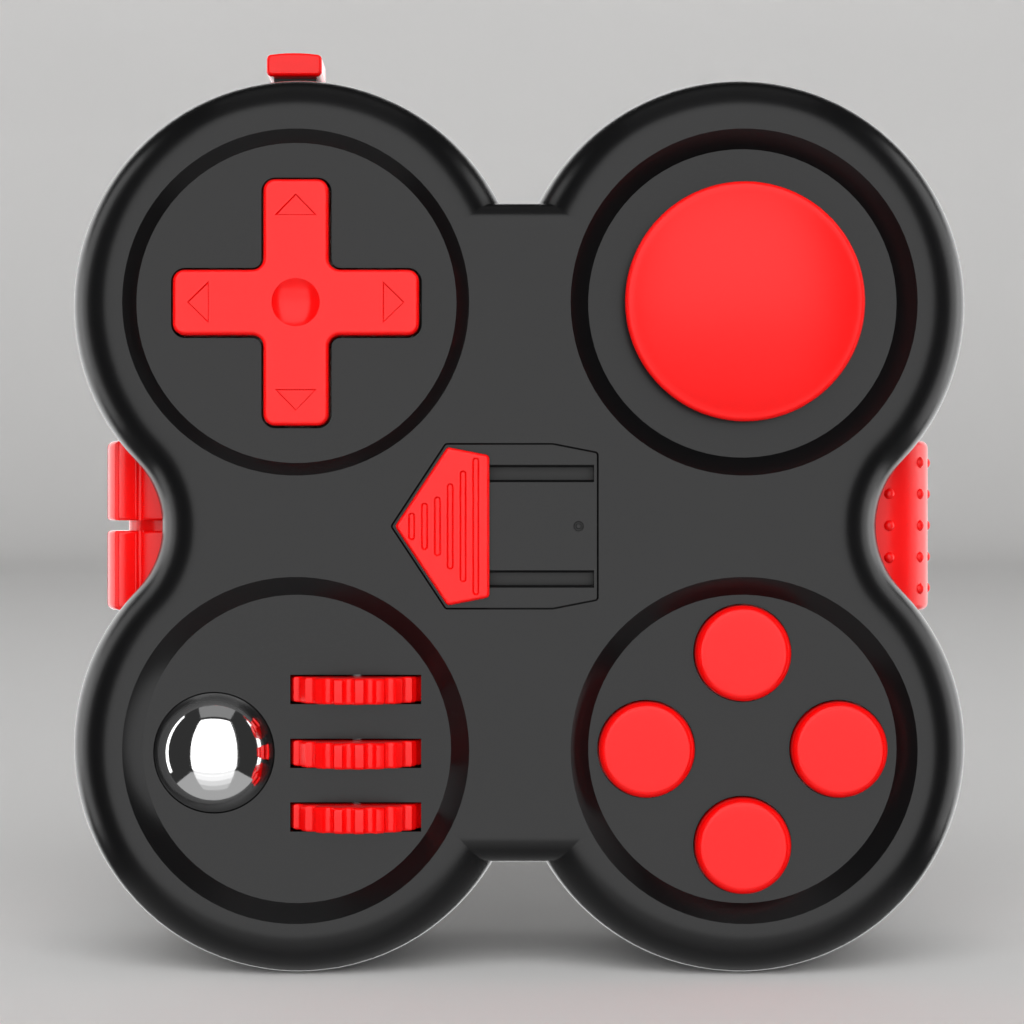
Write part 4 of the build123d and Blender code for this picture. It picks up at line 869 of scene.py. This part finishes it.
@dataclass
class Joystick(TurnedControl):
    """Domed satin cap on a gimballed stem."""

    segments: int = 192
    edge: float = 0.45 * MM
    dome: float = 1.9 * MM
    dome_steps: int = 24
    waist: float = 0.15 * MM
    screw_length: float = 4.2 * MM

    def build(self) -> None:
        """Builds the cap and spring and dresses the gimbal."""
        self.turn("joystick_cap", "joystick", RED_SATIN, self._outline(), 50.0)
        Spring("joystick_spring", 0.225 * MM, 5.5).build()
        dress(BLACK_INNER, "joystick_stem", "joystick_base")
        dress(ACETAL, "joystick_gimbal_ring")
        seat_screws("joystick_screws", Layout.RISING, self.screw_length)

    def _outline(self) -> list[tuple[float, float]]:
        """Returns radius and depth along the cap, from its apex round the edge to its underside."""
        low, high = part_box("joystick_cap")
        outer, apex, under = (high.x - low.x) / 2, low.y, high.y
        rim = outer - self.edge
        ball = (rim**2 + self.dome**2) / (2 * self.dome)
        steps = [rim * i / self.dome_steps for i in range(self.dome_steps + 1)]
        points = [(r, apex + ball - math.sqrt(ball**2 - r**2)) for r in steps]
        shoulder = apex + self.dome
        points += [(rim + r, shoulder + self.edge - h) for r, h in arc((0, 0), self.edge, 90, 0, 10)[1:]]
        points += [(outer - self.waist, under), (outer * 0.6, under), (0.0, under)]
        return points


@dataclass
class ThumbWheels:
    """Three toothed wheels on one axle."""

    teeth: int = 21
    groove_radius: float = 0.5 * MM
    groove_lift: float = 0.05 * MM
    softness: float = 0.10 * MM
    corner: float = 0.28 * MM
    bore: float = 0.95 * MM
    hub: float = 1.9 * MM
    segments_per_tooth: int = 16
    screw_length: float = 4.2 * MM

    def build(self) -> None:
        """Builds the wheels and dresses what carries them."""
        for name in ("upper", "middle", "lower"):
            self._wheel(f"wheel_{name}")
        dress(STEEL, "wheel_axle")
        dress(BLACK_INNER, "wheel_frame")
        dress(SPRING_STEEL, "wheel_click_spring")
        seat_screws("wheel_frame_screws", Layout.RISING, self.screw_length)

    def _wheel(self, node: str) -> None:
        """Builds one wheel.

        Args:
            node: The wheel's node, which is also the name of its body.
        """
        low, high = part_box(node)
        centre, radius, half = middle(node), (high.x - low.x) / 2, (high.z - low.z) / 2
        inner = radius - 2.6 * self.groove_radius
        start = radius - self.corner
        top = [(self.bore, half), (self.hub, half), (inner, half), (start, half)]
        top += arc((start, half - self.corner), self.corner, 90, 0, 5)[1:]
        points = top + [(r, -h) for r, h in reversed(top)] + [top[0]]
        piece = grow(node + "_body", points, TREES["turned"],
                     Segments=self.teeth * self.segments_per_tooth, Centre=tuple(centre), Turn=(0.0, 0.0, 0.0),
                     Rim_Radius=radius, Teeth=self.teeth, Groove_Radius=self.groove_radius,
                     Groove_Lift=self.groove_lift, Softness=self.softness, Rim_Band=2.0 * self.groove_radius,
                     Material=MATERIALS[RED_GLOSS.name])
        settle(tidy_mesh(piece, 48.0), node, node)


@dataclass
class RollingBall:
    """Polished ball in a seat that swivels on a sprung plunger."""

    rings: int = 6  # times that a cube's faces are halved
    travel: float = 0.8 * MM

    def build(self) -> None:
        """Builds the ball and spring and dresses what holds them."""
        low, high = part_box("roller_ball")
        centre, radius = (low + high) / 2, (high.x - low.x) / 2
        work = bmesh.new()
        bmesh.ops.create_cube(work, size=2.0)
        bmesh.ops.subdivide_edges(work, edges=work.edges, cuts=2**self.rings - 1, use_grid_fill=True)
        for vertex in work.verts:
            # an even spread of squares over the ball
            x, y, z = (math.tan(v * math.pi / 4) for v in vertex.co)
            vertex.co = centre + Vector((x, y, z)).normalized() * radius
        piece = keep_mesh(work, "roller_ball_body", MATERIALS[CHROME_BALL.name])
        settle(tidy_mesh(piece, 60.0), "ball", "roller_ball")
        Spring("ball_spring", 0.25 * MM, 5.5).build("ball_click", self.travel)
        dress(ACETAL, "ball_seat", "ball_plunger")
        dress(BLACK_INNER, "ball_housing")
        seat_screws("ball_housing_screws", Layout.COLUMN)


@dataclass
class SideBar:
    """Half-round bar along Z that bulges out of a waist of the casing."""

    radius: float = 5.5 * MM
    side: int = 1
    end_round: float = 0.6 * MM
    arc_steps: int = 96

    def section(self, centre: Vector, inner_x: float, z: float, inset: float,
                groove: Callable[[float], float]) -> list[Vector]:
        """Points round the bar at one height.

        Args:
            centre: Centre of the half round.
            inner_x: Where the bar's flat inner side is.
            z: The height.
            inset: How far the section is drawn in.
            groove: Depth of the grooves at an angle in degrees from straight out.

        Returns:
            The points, from one inner corner round the outside to the other.
        """
        radius = self.radius - inset
        points = [Vector((inner_x, centre.y - radius, z))]
        for i in range(self.arc_steps + 1):
            angle = -90 + 180 * i / self.arc_steps
            reach = radius - groove(angle)
            a = math.radians(angle)
            points.append(Vector((centre.x + self.side * reach * math.cos(a), centre.y + reach * math.sin(a), z)))
        points.append(Vector((inner_x, centre.y + radius, z)))
        return points

    def rounded(self, z: float, direction: int, round_r: float, steps: int = 6) -> list[tuple[float, float]]:
        """Heights and insets of a rounded end.

        Args:
            z: Height of the end.
            direction: 1 where the bar goes up from there, -1 where it comes from below.
            round_r: Radius of the rounding.
            steps: Number of stretches.

        Returns:
            Height and inset of each ring, from the end inward.
        """
        rings = []
        for i in range(steps + 1):
            a = math.radians(90 * i / steps)
            rings.append((z + direction * round_r * (1 - math.cos(a)), round_r * (1 - math.sin(a))))
        return rings


@dataclass
class MassagePad(SideBar):
    """Soft bar with rows of small bumps, and a flange that holds it behind the wall."""

    rows: int = 5
    columns: int = 5
    row_pitch: float = 2.73 * MM
    column_step: float = math.radians(38)
    bump_radius: float = 0.52 * MM
    bump_sink: float = 0.2 * MM
    flange: float = 1.1 * MM
    flange_bevel: float = 0.25 * MM
    flange_reach: float = 1.45 * MM

    def build(self) -> None:
        """Builds the pad with its bumps."""
        low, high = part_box("massage_pad")
        centre = Vector((high.x - self.radius - self.bump_radius + self.bump_sink, (low.y + high.y) / 2,
                         (low.z + high.z) / 2))
        half = (high.z - low.z) / 2 - self.flange_reach
        heights = self.rounded(centre.z - half, 1, self.end_round)
        heights += list(reversed(self.rounded(centre.z + half, -1, self.end_round)))
        rings = [self.section(centre, low.x + self.flange, z, inset, lambda angle: 0.0) for z, inset in heights]
        bar = loft("massage_pad_body", rings, RED_RUBBER)
        work = bmesh.new()
        work.from_mesh(bar.data)
        box = bmesh.ops.create_cube(work, size=1.0)["verts"]
        sides = Vector((self.flange, high.y - low.y, high.z - low.z))
        flange_middle = Vector((low.x + self.flange / 2, centre.y, centre.z))
        for vertex in box:
            vertex.co = flange_middle + vertex.co * sides
        edges = list({edge for vertex in box for edge in vertex.link_edges})
        bmesh.ops.bevel(work, geom=edges, offset=self.flange_bevel, segments=3, profile=0.5, affect="EDGES")
        work.to_mesh(bar.data)
        work.free()
        mesh = bar.data
        bpy.data.objects.remove(bar)
        piece = grow("massage_pad_body", mesh, TREES["bumps"], Centre=tuple(centre),
                     Bar_Radius=self.radius - self.bump_sink, Rows=self.rows, Columns=self.columns,
                     Row_Pitch=self.row_pitch, Column_Step=self.column_step, Bump_Radius=self.bump_radius,
                     Material=MATERIALS[RED_RUBBER.name])
        settle(tidy_mesh(piece), "casing", "massage_pad")


@dataclass
class SideRocker(SideBar):
    """Two grooved finger pads on one bar that rocks about a pin."""

    side: int = -1
    groove_angles: tuple[float, ...] = (-68.0, -40.0, -12.0, 12.0, 40.0, 68.0)
    groove_radius: float = 0.34 * MM
    groove_lift: float = 0.02 * MM
    notch_half: float = 0.45 * MM
    notch_depth: float = 1.85 * MM
    notch_round: float = 0.3 * MM
    arc_steps: int = 240

    def build(self) -> None:
        """Builds the rocker and dresses its pin and spring."""
        low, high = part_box("side_rocker")
        centre = Vector((low.x + self.radius, (low.y + high.y) / 2, (low.z + high.z) / 2))
        half = (high.z - low.z) / 2
        upper = [(z - centre.z, inset) for z, inset in reversed(self.rounded(centre.z + half, -1, self.end_round))]
        upper = [(z, inset) for z, inset in self.rounded(self.notch_half, 1, self.notch_round)] + upper
        core = [(self.notch_half, self.notch_depth)]
        heights = [(-z, inset) for z, inset in reversed(core + upper)] + core + upper
        rings = [self.section(centre, high.x, centre.z + z, inset, self._groove(inset)) for z, inset in heights]
        piece = loft("side_rocker_body", rings, RED_GLOSS)
        settle(tidy_mesh(piece), "side_rocker", "side_rocker")
        dress(STEEL, "rocker_pin")
        dress(SPRING_STEEL, "rocker_spring")

    def _groove(self, inset: float) -> Callable[[float], float]:
        """Depth of the grooves where the bar is drawn in by inset, as a function of the angle.

        Args:
            inset: How far the section is drawn in.

        Returns:
            A function from degrees to metres.
        """
        def depth(angle: float) -> float:
            """Returns the groove's depth at one angle."""
            nearest = min(abs(angle - middle_angle) for middle_angle in self.groove_angles)
            along = math.radians(nearest) * self.radius
            cut = math.sqrt(max(self.groove_radius**2 - along**2, 0.0)) - self.groove_lift
            return max(cut - inset, 0.0)
        return depth


@dataclass
class Slider:
    """Arrow-shaped knob on a carrier that runs behind the face."""

    screw_length: float = 2.9 * MM

    def build(self) -> None:
        """Dresses the knob and what guides it."""
        dress(RED_GLOSS, "slider_knob")
        dress(BLACK_INNER, "slider_carrier", "slider_keeper")
        dress(SPRING_STEEL, "slider_detent_spring")
        seat_screws("slider_screws", Layout.COLUMN, self.screw_length)


@dataclass
class DirectionPad:
    """Cross that rocks on a spider over four silicone domes."""

    def build(self) -> None:
        """Dresses the cross and what it rocks on."""
        dress(RED_GLOSS, "dpad")
        dress(STEEL, "dpad_spider")
        dress(BLACK_INNER, "dpad_bracket")
        dress(SILICONE, "dpad_membrane")
        seat_screws("dpad_screws", Layout.FALLING)


@dataclass
class FlipSwitch:
    """Small lever on top of the upper left lobe."""

    def build(self) -> None:
        """Dresses the lever and what it turns on."""
        dress(RED_GLOSS, "switch_cap")
        dress(BLACK_INNER, "switch_stem", "switch_bracket")
        dress(STEEL, "switch_pin")
        dress(SPRING_STEEL, "switch_spring")


# ----- Studio -----
@dataclass(frozen=True)
class Panel:
    """A soft light panel that faces the pad."""

    name: str
    bearing: float  # degrees round the pad: 0 in front, 90 to its right
    height_angle: float  # degrees above the horizon
    distance: float
    width: float
    low: float  # how far the panel reaches from the pad's middle, down and up
    high: float
    radiance: float

    def build(self, target: Vector, floor: Object) -> None:
        """Hangs the panel. One behind the pad lights the pad alone, not the floor in front of it.

        Args:
            target: The point that it faces.
            floor: The floor and backdrop.
        """
        light = bpy.data.lights.new(self.name, "AREA")
        light.shape, light.size, light.size_y = "RECTANGLE", self.width, self.high - self.low
        light.energy = self.radiance * math.pi * light.size * light.size_y
        panel = place_in_scene(self.name, light)
        a, e = math.radians(self.bearing), math.radians(self.height_angle)
        back = Vector((math.sin(a) * math.cos(e), -math.cos(a) * math.cos(e), math.sin(e)))
        turn = back.to_track_quat("Z", "Y")
        panel.location = target + back * self.distance + turn @ Vector((0.0, (self.high + self.low) / 2, 0.0))
        panel.rotation_euler = turn.to_euler()
        panel.visible_camera = False
        if abs(self.bearing) > 90:
            spared = bpy.data.collections.new(self.name + "_spares")
            spared.objects.link(floor)
            spared.collection_objects[0].light_linking.link_state = "EXCLUDE"
            panel.light_linking.receiver_collection = spared


PANELS = (
    Panel("front_panel", 0, 0, 1.20, 2.05, -0.80, 2.10, 1.58),
    # four larger and dimmer panels soften the lower edge of the front one in reflections
    Panel("front_fade_1", 0, 0, 1.21, 2.05, -1.05, 2.15, 0.30),
    Panel("front_fade_2", 0, 0, 1.22, 2.05, -1.45, 2.20, 0.25),
    Panel("front_fade_3", 0, 0, 1.23, 2.05, -2.10, 2.25, 0.20),
    Panel("front_fade_4", 0, 0, 1.24, 2.05, -3.20, 2.30, 0.16),
    Panel("back_panel", 180, 0, 0.50, 3.60, -0.30, 0.35, 2.00),
    Panel("left_panel", -99, 0, 1.20, 0.50, -0.60, 1.20, 2.00),
    Panel("right_panel", 99, 0, 1.20, 0.70, -0.60, 1.20, 2.00),
    Panel("under_panel", 0, -90, 1.00, 2.40, -1.20, 1.20, 0.35),
    Panel("top_panel", 0, 90, 1.30, 1.20, -0.60, 0.60, 0.20))


@dataclass
class Studio:
    """Plain pale floor that runs up into a round backdrop, soft panels and the camera."""

    floor_radius: float = 1.60
    floor_rings: int = 10
    sweep_radius: float = 0.60
    sweep_steps: int = 16
    wall_top: float = 2.8
    facets: int = 192
    world_strength: float = 0.03
    camera_place: tuple[float, float, float] = (-3.55 * MM, -211.4 * MM, 38.9 * MM)
    lens: float = 85.0
    sensor: float = 36.0
    clip: tuple[float, float] = (0.01, 20.0)
    shift: tuple[float, float] = (0.0342, -0.0020)

    def build(self) -> None:
        """Sets up the floor, the light and the camera."""
        floor = self._backdrop()
        low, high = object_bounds()
        for panel in PANELS:
            panel.build((low + high) / 2, floor)
        world = bpy.data.worlds.new("studio")
        world.use_nodes = True
        colour, strength = world.node_tree.nodes["Background"].inputs[:2]
        colour.default_value, strength.default_value = (1.0, 1.0, 1.0, 1.0), self.world_strength
        bpy.context.scene.world = world
        bpy.context.scene.view_settings.view_transform = "Standard"
        self._camera()

    def _backdrop(self) -> Object:
        """Makes the floor and the backdrop as one smooth surface.

        Returns:
            The object.
        """
        reach, rise, count = self.floor_radius, self.sweep_radius, self.facets
        profile = [(reach * i / self.floor_rings, 0.0) for i in range(self.floor_rings + 1)]
        profile += [(reach + x, rise + z) for x, z in arc((0, 0), rise, -90, 0, self.sweep_steps)[1:]]
        profile += [(reach + rise, self.wall_top)]
        angles = [FULL_TURN * i / count for i in range(count)]
        work = bmesh.new()
        middle_point = work.verts.new((0.0, 0.0, 0.0))
        rows = [[work.verts.new((radius * math.cos(a), radius * math.sin(a), z)) for a in angles]
                for radius, z in profile[1:]]
        for i in range(count):
            work.faces.new((middle_point, rows[0][i], rows[0][(i + 1) % count]))
        for low, high in zip(rows, rows[1:]):
            for i in range(count):
                j = (i + 1) % count
                work.faces.new((low[i], high[i], high[j], low[j]))
        for face in work.faces:
            face.smooth = True
        floor = keep_mesh(work, "floor", PAPER.material())
        # light from below the floor still reaches the pad and its polish
        floor.visible_shadow = False
        floor.visible_glossy = False
        floor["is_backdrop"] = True
        return floor

    def _camera(self) -> None:
        """Places the camera, level with the pad's middle and a little left of it."""
        data = bpy.data.cameras.new("camera")
        data.lens, data.sensor_width = self.lens, self.sensor
        data.shift_x, data.shift_y = self.shift
        data.clip_start, data.clip_end = self.clip
        camera = place_in_scene("camera", data)
        camera.location = self.camera_place
        camera.rotation_euler = (math.radians(90), 0.0, 0.0)
        bpy.context.scene.camera = camera


def main() -> None:
    """Builds the pad's looks in order."""
    logging.basicConfig(level=logging.INFO, format="%(name)s: %(message)s")
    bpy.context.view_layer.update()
    for part in (Casing(), DirectionPad(), Joystick(), ButtonCluster(), ThumbWheels(), RollingBall(), Slider(),
                 SideRocker(), MassagePad(), FlipSwitch()):
        LOG.info("building %s", type(part).__name__)
        part.build()
    Studio().build()


if __name__ == "__main__":
    main()
